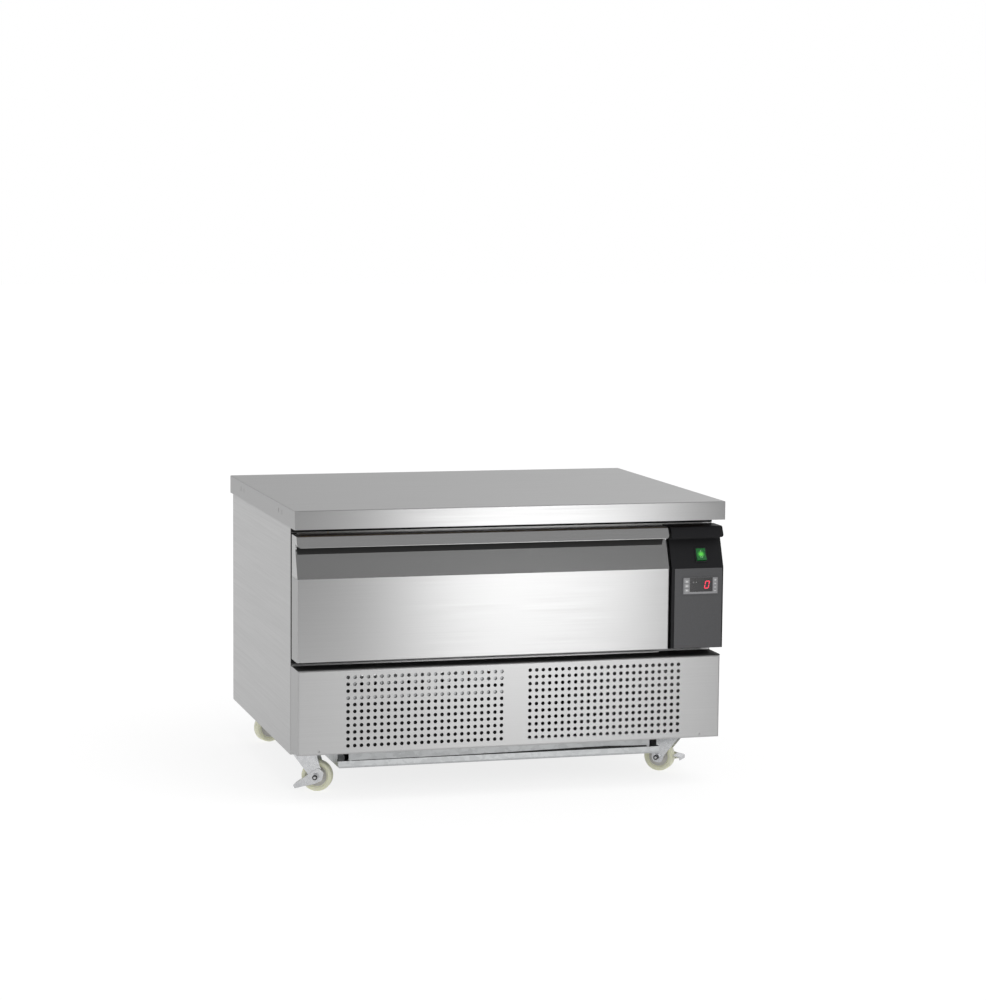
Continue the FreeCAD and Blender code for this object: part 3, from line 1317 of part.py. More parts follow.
def condenser_coil():
    """Coil behind the left grille, its tubes from left to right."""
    height = CONDENSER_ROW_PITCH * (CONDENSER_ROWS - 1)
    shape = coil(
        CONDENSER_LENGTH, CONDENSER_FINS, CONDENSER_COLUMNS, CONDENSER_ROWS,
        CONDENSER_COLUMN_PITCH, CONDENSER_ROW_PITCH, CONDENSER_EDGE,
        [(CONDENSER_COLUMN_PITCH, 0), (CONDENSER_COLUMN_PITCH, height)],
    )
    x0 = CONDENSER_X - CONDENSER_LENGTH / 2
    shape.translate(V(x0, CONDENSER_Y, CONDENSER_BOTTOM))
    feet = []
    for x in (x0, CONDENSER_END - END_PLATE):
        feet.append(
            box(
                x, x + END_PLATE,
                CONDENSER_Y, CONDENSER_OUT_Y,
                TRAY_FLOOR, CONDENSER_BOTTOM - CONDENSER_EDGE + END_PLATE,
            )
        )
    return fused([shape] + feet)


def fan_shroud():
    """Plate on the condenser with a collar round the fan."""
    x0 = CONDENSER_X - CONDENSER_LENGTH / 2
    z0 = CONDENSER_BOTTOM - CONDENSER_EDGE
    z1 = CONDENSER_HIGH + CONDENSER_EDGE
    plate = box(x0, CONDENSER_END, SHROUD_Y, SHROUD_Y + SHEET, z0, z1)
    middle = V(CONDENSER_X, SHROUD_Y, FAN_AXIS_Z)
    inner = BLADE_RADIUS + TIP_GAP
    depth = SHEET + SHROUD_COLLAR
    collar = Part.makeCylinder(inner + COLLAR_WALL, depth, middle, V(0, 1, 0))
    mouth = Part.makeCylinder(inner, depth + 2, middle - V(0, 1, 0), V(0, 1, 0))
    return fused([plate, collar]).cut(mouth)


def condenser_fan_motor():
    """Motor on four bent arms, with its shaft."""
    y0 = BLADE_Y + MOTOR_GAP + HUB_LENGTH
    y1 = y0 + MOTOR_LENGTH
    can = rod(V(CONDENSER_X, y0, FAN_AXIS_Z), V(CONDENSER_X, y1, FAN_AXIS_Z), MOTOR_RADIUS)
    can = round_edges(can, 6, lambda e: len(e.Vertexes) == 1)
    pieces = [can]
    tip = V(CONDENSER_X, BLADE_Y + 4, FAN_AXIS_Z)
    pieces.append(rod(tip, V(CONDENSER_X, y0 + 1, FAN_AXIS_Z), SHAFT_RADIUS))
    seat = SHROUD_Y + SHEET
    for turn in (ARM_ANGLE, 180 - ARM_ANGLE, 180 + ARM_ANGLE, -ARM_ANGLE):
        line = [(MOTOR_RADIUS - 4, y0 + 12), (ARM_REACH, y0 + 12), (ARM_REACH, seat)]
        arm = slab(bent_sheet(line[::-1], ARM), 0, in_xy(-ARM_WIDTH / 2), V(0, 0, ARM_WIDTH))
        arm.rotate(V(0, 0, 0), V(0, 1, 0), turn)
        arm.translate(V(CONDENSER_X, 0, FAN_AXIS_Z))
        pieces.append(arm)
    return fused(pieces)


def condenser_fan_blade():
    """Five-bladed fan wheel on the motor's shaft."""
    wheel = fan_wheel(BLADE_RADIUS, HUB_RADIUS, HUB_LENGTH, SHAFT_RADIUS + SHAFT_GAP, 5, 44, 34, 24)
    wheel.rotate(V(0, 0, 0), V(1, 0, 0), -90)
    wheel.translate(V(CONDENSER_X, BLADE_Y, FAN_AXIS_Z))
    return wheel


def mount_spots():
    """Middles of the compressor's four rubber mounts."""
    half_length = FOOT_LENGTH / 2 - MOUNT_RADIUS
    half_width = FOOT_WIDTH / 2 - MOUNT_RADIUS
    return [
        (COMPRESSOR_X + dx, COMPRESSOR_Y + dy)
        for dx in (-half_length, half_length)
        for dy in (-half_width, half_width)
    ]


def compressor():
    """Domed can with a seam, a foot plate, a terminal cover and two pipe stubs."""
    z0 = TRAY_FLOOR + MOUNT_RISE
    middle = V(COMPRESSOR_X, COMPRESSOR_Y, z0 + FOOT_PLATE)
    can = Part.makeCylinder(COMPRESSOR_RADIUS, COMPRESSOR_HEIGHT, middle)
    can = round_edges(
        can, DOME_ROUND, lambda e: len(e.Vertexes) == 1 and e.CenterOfMass.z > middle.z + 1
    )
    can = round_edges(
        can, FOOT_ROUND, lambda e: len(e.Vertexes) == 1 and e.CenterOfMass.z < middle.z + 1
    )
    seam = Part.makeCylinder(COMPRESSOR_RADIUS + 3, 6, middle + V(0, 0, COMPRESSOR_SEAM))
    points = rectangle(
        COMPRESSOR_X - FOOT_LENGTH / 2, COMPRESSOR_X + FOOT_LENGTH / 2,
        COMPRESSOR_Y - FOOT_WIDTH / 2, COMPRESSOR_Y + FOOT_WIDTH / 2,
    )
    foot = slab(points, MOUNT_RADIUS, in_xy(z0), V(0, 0, FOOT_PLATE))
    cover = box(
        COMPRESSOR_X - COVER_WIDTH / 2, COMPRESSOR_X + COVER_WIDTH / 2,
        COMPRESSOR_Y - COMPRESSOR_RADIUS - COVER_REACH, COMPRESSOR_Y - COMPRESSOR_RADIUS + COVER_SINK,
        z0 + COVER_RISE, z0 + COVER_RISE + COVER_HEIGHT,
    )
    cover = round_edges(cover, 5, lambda e: runs_along(e, V(0, 0, 1)))
    left = COMPRESSOR_X - COMPRESSOR_RADIUS
    right = COMPRESSOR_X + COMPRESSOR_RADIUS
    pieces = [can, seam, foot, cover]
    for inner, outer, z in (
        (left + STUB_LENGTH, left - STUB_LENGTH, DISCHARGE_Z),
        (right - STUB_LENGTH, right + STUB_LENGTH, SUCTION_Z),
    ):
        pieces.append(rod(V(inner, COMPRESSOR_Y, z), V(outer, COMPRESSOR_Y, z), STUB_RADIUS))
    return fused(pieces)


def compressor_mounts():
    """Rubber mounts between the tray and the compressor's foot."""
    mounts = []
    for x, y in mount_spots():
        mounts.append(Part.makeCone(MOUNT_RADIUS, MOUNT_RADIUS - 3, MOUNT_RISE, V(x, y, TRAY_FLOOR)))
    return Part.makeCompound(mounts)


def filter_drier():
    """Drier cartridge with tapered ends in the liquid line."""
    z = CONDENSER_BOTTOM
    points = [
        (0, 0), (LIQUID_RADIUS + 1, 0), (LIQUID_RADIUS + 1, 8), (DRIER_RADIUS, 18),
        (DRIER_RADIUS, DRIER_LENGTH - 18), (LIQUID_RADIUS + 1, DRIER_LENGTH - 8),
        (LIQUID_RADIUS + 1, DRIER_LENGTH), (0, DRIER_LENGTH),
    ]
    shape = Part.Face(loop(points, 0, in_xy(0))).revolve(V(0, 0, 0), V(0, 1, 0), 360)
    shape.translate(V(DRIER_X, DRIER_Y, z))
    return shape


def refrigerant_pipes():
    """Discharge pipe, the two lengths of the liquid line and the suction pipe."""
    z = CONDENSER_BOTTOM
    out_x = CONDENSER_OUT_X
    coil_y = EVAPORATOR_END + COIL_STUB
    discharge = [
        V(DISCHARGE_STUB_X, COMPRESSOR_Y, DISCHARGE_Z),
        V(DISCHARGE_X, COMPRESSOR_Y, DISCHARGE_Z),
        V(DISCHARGE_X, COMPRESSOR_Y, CONDENSER_HIGH),
        V(DISCHARGE_X, CONDENSER_OUT_Y, CONDENSER_HIGH),
        V(out_x, CONDENSER_OUT_Y, CONDENSER_HIGH),
    ]
    before = [V(out_x, CONDENSER_OUT_Y, z), V(DRIER_X, CONDENSER_OUT_Y, z), V(DRIER_X, DRIER_Y, z)]
    after = [
        V(DRIER_X, DRIER_Y + DRIER_LENGTH, z),
        V(DRIER_X, LIQUID_Y, z),
        V(DRIER_X, LIQUID_Y, LIQUID_Z),
        V(DRIER_X, LIQUID_PASS_Y, LIQUID_Z),
        V(LIQUID_X, LIQUID_PASS_Y, LIQUID_Z),
        V(LIQUID_X, LIQUID_PASS_Y, EVAPORATOR_BOTTOM),
        V(LIQUID_X, coil_y, EVAPORATOR_BOTTOM),
    ]
    suction = [
        V(SUCTION_X, coil_y, EVAPORATOR_HIGH),
        V(SUCTION_X, PASS_Y, EVAPORATOR_HIGH),
        V(SUCTION_X, PASS_Y, SUCTION_Z),
        V(SUCTION_X, COMPRESSOR_Y, SUCTION_Z),
        V(COMPRESSOR_X + COMPRESSOR_RADIUS + STUB_LENGTH, COMPRESSOR_Y, SUCTION_Z),
    ]
    return Part.makeCompound(
        [
            pipe(discharge, DISCHARGE_RADIUS),
            pipe(before, LIQUID_RADIUS),
            pipe(after, LIQUID_RADIUS),
            pipe(suction, SUCTION_RADIUS),
        ]
    )


def condensate_tray():
    """Open pan under the drain hose, with rounded corners."""
    points = rectangle(PAN_LEFT, PAN_RIGHT, PAN_FRONT, PAN_BACK)
    outer = slab(points, PAN_ROUND, in_xy(TRAY_FLOOR), V(0, 0, PAN_HEIGHT))
    inset = rectangle(
        PAN_LEFT + PAN_WALL, PAN_RIGHT - PAN_WALL,
        PAN_FRONT + PAN_WALL, PAN_BACK - PAN_WALL,
    )
    inner = slab(inset, PAN_ROUND - PAN_WALL, in_xy(TRAY_FLOOR + PAN_WALL), V(0, 0, PAN_HEIGHT))
    return outer.cut(inner)


def drain_hose():
    """Hose from the floor of the cold space down into the pan."""
    foot = V(DRAIN_X, PASS_Y, DRAIN_END)
    height = LINER_BOTTOM - DRAIN_END
    hose = Part.makeCylinder(DRAIN_RADIUS, height, foot)
    return hose.cut(Part.makeCylinder(DRAIN_RADIUS - DRAIN_WALL, height, foot))


def cable_gland():
    """Low gland with a nut on each side of the back panel and a bore for a cable."""
    outer_y = BODY_BACK - THIN_SHEET - SKIN_GAP
    inner_y = outer_y - THIN_SHEET
    along = V(0, 1, 0)
    start = V(GLAND_X, inner_y - GLAND_IN, GLAND_Z)
    barrel = Part.makeCylinder(GLAND_RADIUS, GLAND_IN + THIN_SHEET + GLAND_OUT, start, along)
    outside = hexagon(GLAND_NUT, V(GLAND_X, outer_y, GLAND_Z), along, GLAND_OUT - 1.5)
    inside = hexagon(GLAND_NUT, V(GLAND_X, inner_y - GLAND_OUT, GLAND_Z), along, GLAND_OUT)
    bore = Part.makeCylinder(GLAND_BORE, 60, V(GLAND_X, inner_y - 40, GLAND_Z), along)
    return fused([barrel, outside, inside]).cut(bore)


def placed(shape, name):
    """Shape drawn about a caster's swivel axis, moved to that caster."""
    x, y, turn = caster_spots()[name]
    shape.rotate(V(0, 0, 0), V(0, 0, 1), turn)
    shape.translate(V(x, y, 0))
    return shape


def caster_plates():
    """Top plates with their upper race and king pin."""
    plates = []
    for x, y, turn in caster_spots().values():
        half = PLATE_SIDE / 2
        points = rectangle(x - half, x + half, y - half, y + half)
        plate = slab(points, PLATE_ROUND, in_xy(PLATE_BOTTOM), V(0, 0, PLATE))
        race = Part.makeCylinder(RACE_RADIUS, PLATE_BOTTOM - CROWN_TOP - PLAY, V(x, y, CROWN_TOP + PLAY))
        head_z = CROWN_BOTTOM - PLAY - KING_HEAD_HEIGHT
        pin = rod(V(x, y, head_z), V(x, y, PLATE_BOTTOM), KING_PIN)
        head = Part.makeCylinder(KING_HEAD, KING_HEAD_HEIGHT, V(x, y, head_z))
        solid = fused([plate, race, pin, head])
        half = BOLT_SPACING / 2
        holes = [
            Part.makeCylinder(BOLT_RADIUS + SKIN_GAP, PLATE + 2, V(x + dx, y + dy, PLATE_BOTTOM - 1))
            for dx in (-half, half)
            for dy in (-half, half)
        ]
        plates.append(solid.cut(Part.makeCompound(holes)))
    return Part.makeCompound(plates)


def caster_bolts():
    """Hexagon bolts through the top plates and the base rails."""
    bolts = []
    top = BASE_HEIGHT + RAIL_SHEET
    up = V(0, 0, 1)
    for x, y in bolt_spots():
        shank = rod(V(x, y, PLATE_BOTTOM - 1), V(x, y, top + BOLT_HEAD_HEIGHT + 2), BOLT_RADIUS)
        head = hexagon(BOLT_HEAD, V(x, y, PLATE_BOTTOM - BOLT_HEAD_HEIGHT), up, BOLT_HEAD_HEIGHT)
        nut = hexagon(BOLT_HEAD, V(x, y, top), up, BOLT_HEAD_HEIGHT)
        bolts.append(fused([shank, head, nut]))
    return Part.makeCompound(bolts)


def fork(name):
    """Pressed fork with ribbed legs, and its axle bolt as a second solid."""
    points = [
        (-CROWN_RADIUS + 2, CROWN_TOP), (CROWN_RADIUS, CROWN_TOP),
        (TRAIL + LEG_END, AXLE_Z + LEG_END), (TRAIL + LEG_END, AXLE_Z - LEG_END),
        (TRAIL - LEG_END, AXLE_Z - LEG_END), (TRAIL - LEG_END - 2, AXLE_Z + 2),
    ]
    radii = [1.0, 1.0, 6.0, LEG_END - 1, LEG_END - 2, 8.0]
    leg = slab(points, radii, in_xz(-LEG_OUTSIDE), V(0, LEG, 0))
    ridge = [
        (TRAIL - RIB_HALF - 6, CROWN_BOTTOM), (TRAIL + RIB_HALF - 12, CROWN_BOTTOM),
        (TRAIL + RIB_HALF - 4, RIB_BOTTOM), (TRAIL - RIB_HALF + 2, RIB_BOTTOM),
    ]
    rib = slab(ridge, 2.0, in_xz(-LEG_OUTSIDE - RIB_HEIGHT), V(0, RIB_HEIGHT, 0))
    across = V(0, 1, 0)
    crown = Part.makeCylinder(CROWN_RADIUS, CROWN_TOP - CROWN_BOTTOM, V(0, 0, CROWN_BOTTOM))
    crown = round_edges(
        crown, 1.5, lambda e: len(e.Vertexes) == 1 and abs(e.CenterOfMass.z - CROWN_TOP) < 1e-6
    )
    side = fused([leg, rib])
    solid = fused([crown, side, side.mirror(V(0, 0, 0), across)])
    reach = 2 * LEG_OUTSIDE
    solid = solid.cut(
        Part.makeCylinder(AXLE_RADIUS + SKIN_GAP, 2 * reach, V(TRAIL, -reach, AXLE_Z), across)
    )
    solid = solid.cut(Part.makeCylinder(KING_PIN + SHAFT_GAP, 30, V(0, 0, CROWN_BOTTOM - 10)))
    spacer = LEVER + 2 * LEVER_PLAY
    head_y = -LEG_OUTSIDE - spacer
    bolt = [
        rod(V(TRAIL, head_y, AXLE_Z), V(TRAIL, LEG_OUTSIDE, AXLE_Z), AXLE_RADIUS),
        hexagon(AXLE_HEAD, V(TRAIL, head_y - AXLE_HEAD_HEIGHT, AXLE_Z), across, AXLE_HEAD_HEIGHT),
        hexagon(AXLE_HEAD, V(TRAIL, LEG_OUTSIDE, AXLE_Z), across, AXLE_HEAD_HEIGHT),
    ]
    if name not in ("fl", "fr"):
        bolt.append(rod(V(TRAIL, head_y, AXLE_Z), V(TRAIL, -LEG_OUTSIDE, AXLE_Z), AXLE_HEAD))
    return placed(Part.makeCompound([solid, fused(bolt)]), name)


def wheel(name):
    """Wheel with a rounded tread, a dished web and a long hub."""
    bore = AXLE_RADIUS + SHAFT_GAP
    points = [
        (bore, -HUB_HALF), (HUB_OUTER, -HUB_HALF), (HUB_OUTER, -WEB_HALF), (WEB_OUTER, -WEB_HALF),
        (WEB_OUTER, -TREAD_HALF), (WHEEL_RADIUS, -TREAD_HALF), (WHEEL_RADIUS, TREAD_HALF),
        (WEB_OUTER, TREAD_HALF), (WEB_OUTER, WEB_HALF), (HUB_OUTER, WEB_HALF),
        (HUB_OUTER, HUB_HALF), (bore, HUB_HALF),
    ]
    soft = 1.0
    radii = [0, soft, soft, soft, soft, TREAD_ROUND, TREAD_ROUND, soft, soft, soft, soft, 0]
    shape = Part.Face(loop(points, radii, in_xy(0))).revolve(V(0, 0, 0), V(0, 1, 0), 360)
    shape.translate(V(TRAIL, 0, AXLE_Z))
    return placed(shape, name)


def brake(name, drop):
    """Foot brake on the axle: a side plate and a pedal across the wheel."""
    y0 = -LEG_OUTSIDE - LEVER_PLAY - LEVER
    points = [
        (9, -12), (20, 1), (14, 14), (-8, 12), (-PEDAL_INNER, 7), (-PEDAL_OUTER, 5),
        (-PEDAL_OUTER, -3), (-PEDAL_INNER, -6), (-8, -12),
    ]
    radii = [6.0, 4.0, 6.0, 8.0, 8.0, 2.0, 2.0, 8.0, 8.0]
    plate = slab(points, radii, in_xz(y0), V(0, LEVER, 0))
    tread = [
        (-PEDAL_INNER - 1, 7), (-PEDAL_OUTER, 5), (-PEDAL_OUTER, -3),
        (-PEDAL_OUTER + LEVER, -3), (-PEDAL_OUTER + LEVER, 5 - LEVER), (-PEDAL_INNER - 1, 7 - LEVER),
    ]
    pedal = slab(tread, [0, 2.0, 0, 0, 0, 0], in_xz(y0), V(0, PEDAL_SIDE - y0, 0))
    shape = fused([plate, pedal])
    hole = Part.makeCylinder(AXLE_RADIUS + SHAFT_GAP, 10, V(0, y0 - 4, 0), V(0, 1, 0))
    shape = shape.cut(hole)
    shape.rotate(V(0, 0, 0), V(0, 1, 0), -drop)
    shape.translate(V(TRAIL, 0, AXLE_Z))
    return placed(shape, name)


def all_parts():
    """Every node by name."""
    left = side_panel()
    parts = {
        "worktop": worktop(),
        "worktop_core": worktop_inside(),
        "left_side_panel": left,
        "right_side_panel": mirrored(left, 0),
        "back_panel": back_panel(),
        "cabinet_floor_plate": cabinet_floor_plate(),
        "insulation_foam": insulation_foam(),
        "inner_liner": inner_liner(),
        "front_frame": front_frame(),
        "base_rails": base_rails(),
        "machine_tray": machine_tray(),
        "front_baffle": front_baffle(),
        "grille_panel": grille_panel(),
        "grille_screws": grille_screws(),
        "control_housing": control_housing(),
        "control_fascia": control_fascia(),
        "switch_body": switch_body(),
        "rocker_button": rocker_button(),
        "controller_body": controller_body(),
        "display_window": window_block(WINDOW_FIT, WINDOW_DEPTH),
        "key_up": key_block(1, 0, KEY_THICKNESS),
        "key_set": key_block(0, 0, KEY_THICKNESS),
        "key_down": key_block(-1, 0, KEY_THICKNESS),
        "drawer_front_panel": drawer_front_panel(),
        "drawer_handle": drawer_handle(),
        "handle_end_caps": handle_end_caps(),
        "drawer_front_foam": drawer_front_foam(),
        "drawer_inner_panel": drawer_inner_panel(),
        "drawer_gasket": drawer_gasket(),
        "drawer_frame": drawer_frame(),
        "cabinet_runners": cabinet_runners(),
        "middle_runners": middle_runners(),
        "drawer_runners": drawer_runners(),
        "evaporator_baffle": evaporator_baffle(),
        "evaporator_coil": evaporator_coil(),
        "evaporator_fan_frame": evaporator_fan_frame(),
        "evaporator_fan_blade": evaporator_fan_blade(),
        "condenser_coil": condenser_coil(),
        "fan_shroud": fan_shroud(),
        "condenser_fan_motor": condenser_fan_motor(),
        "condenser_fan_blade": condenser_fan_blade(),
        "compressor": compressor(),
        "compressor_mounts": compressor_mounts(),
        "filter_drier": filter_drier(),
        "refrigerant_pipes": refrigerant_pipes(),
        "condensate_tray": condensate_tray(),
        "drain_hose": drain_hose(),
        "cable_gland": cable_gland(),
        "caster_plates": caster_plates(),
        "caster_bolts": caster_bolts(),
        "brake_fl": brake("fl", BRAKE_DOWN),
        "brake_fr": brake("fr", BRAKE_UP),
    }
    for name in caster_spots():
        parts["fork_" + name] = fork(name)
        parts["wheel_" + name] = wheel(name)
    return parts


os.makedirs("parts", exist_ok=True)
for node, shape in all_parts().items():
    shape.exportStep("parts/" + node + ".step")
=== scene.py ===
import json
from math import atan2, cos, pi, radians, sin, tan

import bmesh
import bpy
from bpy.props import FloatProperty, FloatVectorProperty, IntProperty, PointerProperty
from mathutils import Matrix, Vector


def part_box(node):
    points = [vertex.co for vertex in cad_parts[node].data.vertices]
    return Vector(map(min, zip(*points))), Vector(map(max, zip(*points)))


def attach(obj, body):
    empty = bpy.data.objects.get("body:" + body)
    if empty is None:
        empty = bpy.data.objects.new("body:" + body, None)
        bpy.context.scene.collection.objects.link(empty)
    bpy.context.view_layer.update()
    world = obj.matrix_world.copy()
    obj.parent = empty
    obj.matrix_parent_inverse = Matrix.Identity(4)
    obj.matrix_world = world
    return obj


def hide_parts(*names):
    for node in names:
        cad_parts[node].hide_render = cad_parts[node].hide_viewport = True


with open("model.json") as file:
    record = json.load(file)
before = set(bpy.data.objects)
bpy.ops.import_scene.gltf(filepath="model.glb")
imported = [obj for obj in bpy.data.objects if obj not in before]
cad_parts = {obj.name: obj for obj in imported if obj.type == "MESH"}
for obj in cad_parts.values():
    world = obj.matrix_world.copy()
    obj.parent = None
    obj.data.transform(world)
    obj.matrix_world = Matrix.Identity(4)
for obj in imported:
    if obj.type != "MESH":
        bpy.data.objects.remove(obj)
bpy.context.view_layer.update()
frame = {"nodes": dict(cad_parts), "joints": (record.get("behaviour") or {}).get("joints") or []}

bl_info = {
    "name": "Refrigerated counter",
    "version": (1, 0, 0),
    "blender": (4, 5, 0),
    "location": "View3D > Sidebar > Counter",
    "description": "Finishes, small fittings and a studio for a low refrigerated counter with one drawer",
    "category": "Object",
}

MM = 0.001
NODES = frame["nodes"]
JOINTS = {joint["name"]: joint for joint in frame["joints"]}
CASTERS = ("fl", "fr", "rl", "rr")
KEYS = ("key_up", "key_set", "key_down")
ALONG_X, ALONG_Y = 0, 1
INK = 0.05 * MM
ROUND_STEPS, CORNER_STEPS, WHEEL_STEPS = 24, 6, 96


def linear(code):
    """Linear colour, with full alpha, of an sRGB hex code."""
    parts = [int(code[i:i + 2], 16) / 255 for i in (1, 3, 5)]
    return [p / 12.92 if p <= 0.04045 else ((p + 0.055) / 1.055) ** 2.4 for p in parts] + [1.0]


def hue(title, text, code):
    """A colour that a user may change."""
    return FloatVectorProperty(
        name=title, description=text, default=linear(code), size=4, min=0, max=1, subtype="COLOR"
    )


class CounterColours(bpy.types.PropertyGroup):
    """Colours of the finishes"""

    steel: hue("Stainless steel", "Satin sheet of the shell, the drawer and the liner", "#c9c9c9")
    zinc: hue("Zinc plate", "Casters, bolts and drawer runners", "#eeeff1")
    galvanised: hue("Galvanised sheet", "Back, base rails and machine tray", "#d6d8d9")
    housing: hue("Control housing", "Black moulded plastic", "#1d1d1f")
    fascia: hue("Control fascia", "Grey film on the front of the control housing", "#474749")
    controller: hue("Controller case", "Plastic around the display", "#4b4b4d")
    legend: hue("Controller film", "Paler film beside and below the display", "#8b8b8d")
    key: hue("Controller keys", "Soft keys to the left of the display", "#a3a3a4")
    lamp: hue("Switch lamp", "Lit middle of the rocker", "#63e04c")
    lens: hue("Switch lens", "Rocker away from its lamp", "#0b4a1e")
    digit: hue("Display digit", "Lit segments", "#ee2a4c")
    tread: hue("Caster tread", "Pale wheel", "#fcfce0")
    hub: hue("Caster hub", "Middle of the wheel", "#cfcdc8")


class CounterSizes(bpy.types.PropertyGroup):
    """Sizes of the small fittings"""

    line_pitch: FloatProperty(
        name="Brush line pitch", description="Distance between the drawn lines of the brushed sheet",
        default=2 * MM, min=0.5 * MM, unit="LENGTH",
    )
    digit_height: FloatProperty(
        name="Digit height", description="Height of the lit digit",
        default=14.5 * MM, min=5 * MM, unit="LENGTH",
    )
    digit_slant: FloatProperty(
        name="Digit slant", description="Lean of the digit to the right",
        default=radians(11), subtype="ANGLE",
    )
    tread_radius: FloatProperty(
        name="Wheel radius", description="Radius of the caster wheels",
        default=(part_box("wheel_fl")[1].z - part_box("wheel_fl")[0].z) / 2, min=10 * MM, unit="LENGTH",
    )
    back_screws: IntProperty(
        name="Back screws", description="Screws along the upper and lower edge of the back",
        default=6, min=2,
    )


class CounterStudio(bpy.types.PropertyGroup):
    """Light and camera"""

    room: FloatProperty(
        name="Room light", description="Light from all around on matt surfaces", default=0.62, min=0
    )
    lamp: FloatProperty(name="Soft lamp", description="Strength of the wide lamp", default=1.2, min=0)
    floor: FloatProperty(
        name="Floor glow", description="Share of the floor that takes no shadow", default=0.8, min=0
    )
    lens: FloatProperty(
        name="Lens", description="Focal length on a 36 mm frame", default=98.95, min=10, unit="CAMERA"
    )


# Finishes


def add(tree, kind, inputs=None, **settings):
    """Adds a node with its settings, values and links. A node as a value is linked by its first output."""
    made = tree.nodes.new(kind)
    for key, value in settings.items():
        setattr(made, key, value)
    for key, value in (inputs or {}).items():
        if isinstance(value, bpy.types.Node):
            value = value.outputs[0]
        if isinstance(value, bpy.types.NodeSocket):
            tree.links.new(value, made.inputs[key])
        else:
            made.inputs[key].default_value = value
    return made


def emptied(holder):
    """Turns on the nodes of a material or a world, without any node in them."""
    holder.use_nodes = True
    holder.node_tree.nodes.clear()
    return holder.node_tree


def finish(name, even):
    """Starts a finish: its shader with the even values on its sockets, and the part's own coordinates."""
    made = bpy.data.materials.get(name) or bpy.data.materials.new(name)
    tree = emptied(made)
    shader = add(tree, "ShaderNodeBsdfPrincipled", even)
    add(tree, "ShaderNodeOutputMaterial", {"Surface": shader})
    place = add(tree, "ShaderNodeTexCoord").outputs["Object"]
    return made, tree, shader, place


def darker(colour, share):
    """The colour with a share of its light."""
    return [c * share for c in colour[:3]] + [1.0]


def vary(tree, shader, pattern, colours, roughness, relief):
    """Lets a pattern drive a shader's colour, roughness and relief, the last as strength and distance."""
    usual = {"From Min": 0.25, "From Max": 0.75}
    even = add(tree, "ShaderNodeMapRange", {"Value": pattern, **usual}, clamp=True)
    tint = add(tree, "ShaderNodeMix", {0: even, 6: colours[0], 7: colours[1]}, data_type="RGBA")
    rough = add(tree, "ShaderNodeMapRange", {"Value": even, "To Min": roughness[0], "To Max": roughness[1]})
    bump = add(tree, "ShaderNodeBump", {"Height": pattern, "Strength": relief[0], "Distance": relief[1]})
    tree.links.new(tint.outputs[2], shader.inputs["Base Color"])
    tree.links.new(rough.outputs["Result"], shader.inputs["Roughness"])
    tree.links.new(bump.outputs["Normal"], shader.inputs["Normal"])


def mottled(name, even, spot, colours, roughness, relief, detail=2.0, grain=0.5):
    """A finish that changes in soft spots of one size."""
    made, tree, shader, place = finish(name, even)
    spots = add(
        tree, "ShaderNodeTexNoise",
        {"Vector": place, "Scale": 1 / spot, "Detail": detail, "Roughness": grain},
    )
    vary(tree, shader, spots, colours, roughness, relief)
    return made


def brushed_stainless(name, colour, along, pitch, roughness=(0.29, 0.39), spread=0.85):
    """Stainless sheet ground with a belt: long fine lines that spread a reflection across themselves."""
    made, tree, shader, place = finish(name, {"Metallic": 1.0, "Anisotropic": spread})
    # Real belt lines are about 0.2 mm apart. They are drawn at a pitch that shows from some metres away.
    line_length = 250 * MM
    stretch = [1 / pitch] * 3
    stretch[along] = 1 / line_length
    lines = add(tree, "ShaderNodeMapping", {"Vector": place, "Scale": stretch}, vector_type="POINT")
    streak = add(
        tree, "ShaderNodeTexNoise",
        {"Vector": lines, "Scale": 1.0, "Detail": 3.0, "Roughness": 0.6},
    )
    vary(tree, shader, streak, (colour, darker(colour, 0.96)), roughness, (0.03, 0.2 * MM))
    # The shader is rougher along its tangent, so the tangent lies across the lines.
    grain = [0.02, 0.02, 0.02]
    grain[along] = 1
    normal = add(tree, "ShaderNodeNewGeometry").outputs["Normal"]
    across = add(tree, "ShaderNodeVectorMath", {0: normal, 1: grain}, operation="CROSS_PRODUCT")
    unit = add(tree, "ShaderNodeVectorMath", {0: across}, operation="NORMALIZE")
    tree.links.new(unit.outputs[0], shader.inputs["Tangent"])
    return made


def galvanised_sheet(name, colour):
    """Hot-dipped sheet: flat zinc crystals about 8 mm across, each with its own grey and gloss."""
    made, tree, shader, place = finish(name, {"Metallic": 1.0})
    # The crystals' edges wander by up to 4 mm, in bends about 14 mm long.
    wander = [4 * MM] * 3
    bend = add(tree, "ShaderNodeTexNoise", {"Vector": place, "Scale": 70.0, "Detail": 2.0})
    shift = add(
        tree, "ShaderNodeVectorMath", {0: bend.outputs["Color"], 1: wander, 2: place},
        operation="MULTIPLY_ADD",
    )
    crystal = add(tree, "ShaderNodeTexVoronoi", {"Vector": shift, "Scale": 1 / (8 * MM)})
    grey = add(tree, "ShaderNodeSeparateColor", {"Color": crystal.outputs["Color"]})
    vary(tree, shader, grey, (colour, darker(colour, 0.93)), (0.38, 0.48), (0.01, 0.1 * MM))
    return made


def bright_zinc(colour):
    """Zinc-plated pressed steel: bright under a thin whitish film, faintly cloudy from the press."""
    return mottled(
        "bright_zinc_plate", {"Metallic": 0.85}, 9 * MM, (colour, darker(colour, 0.8)),
        roughness=(0.2, 0.34), relief=(0.06, 0.2 * MM), detail=4.0, grain=0.6,
    )


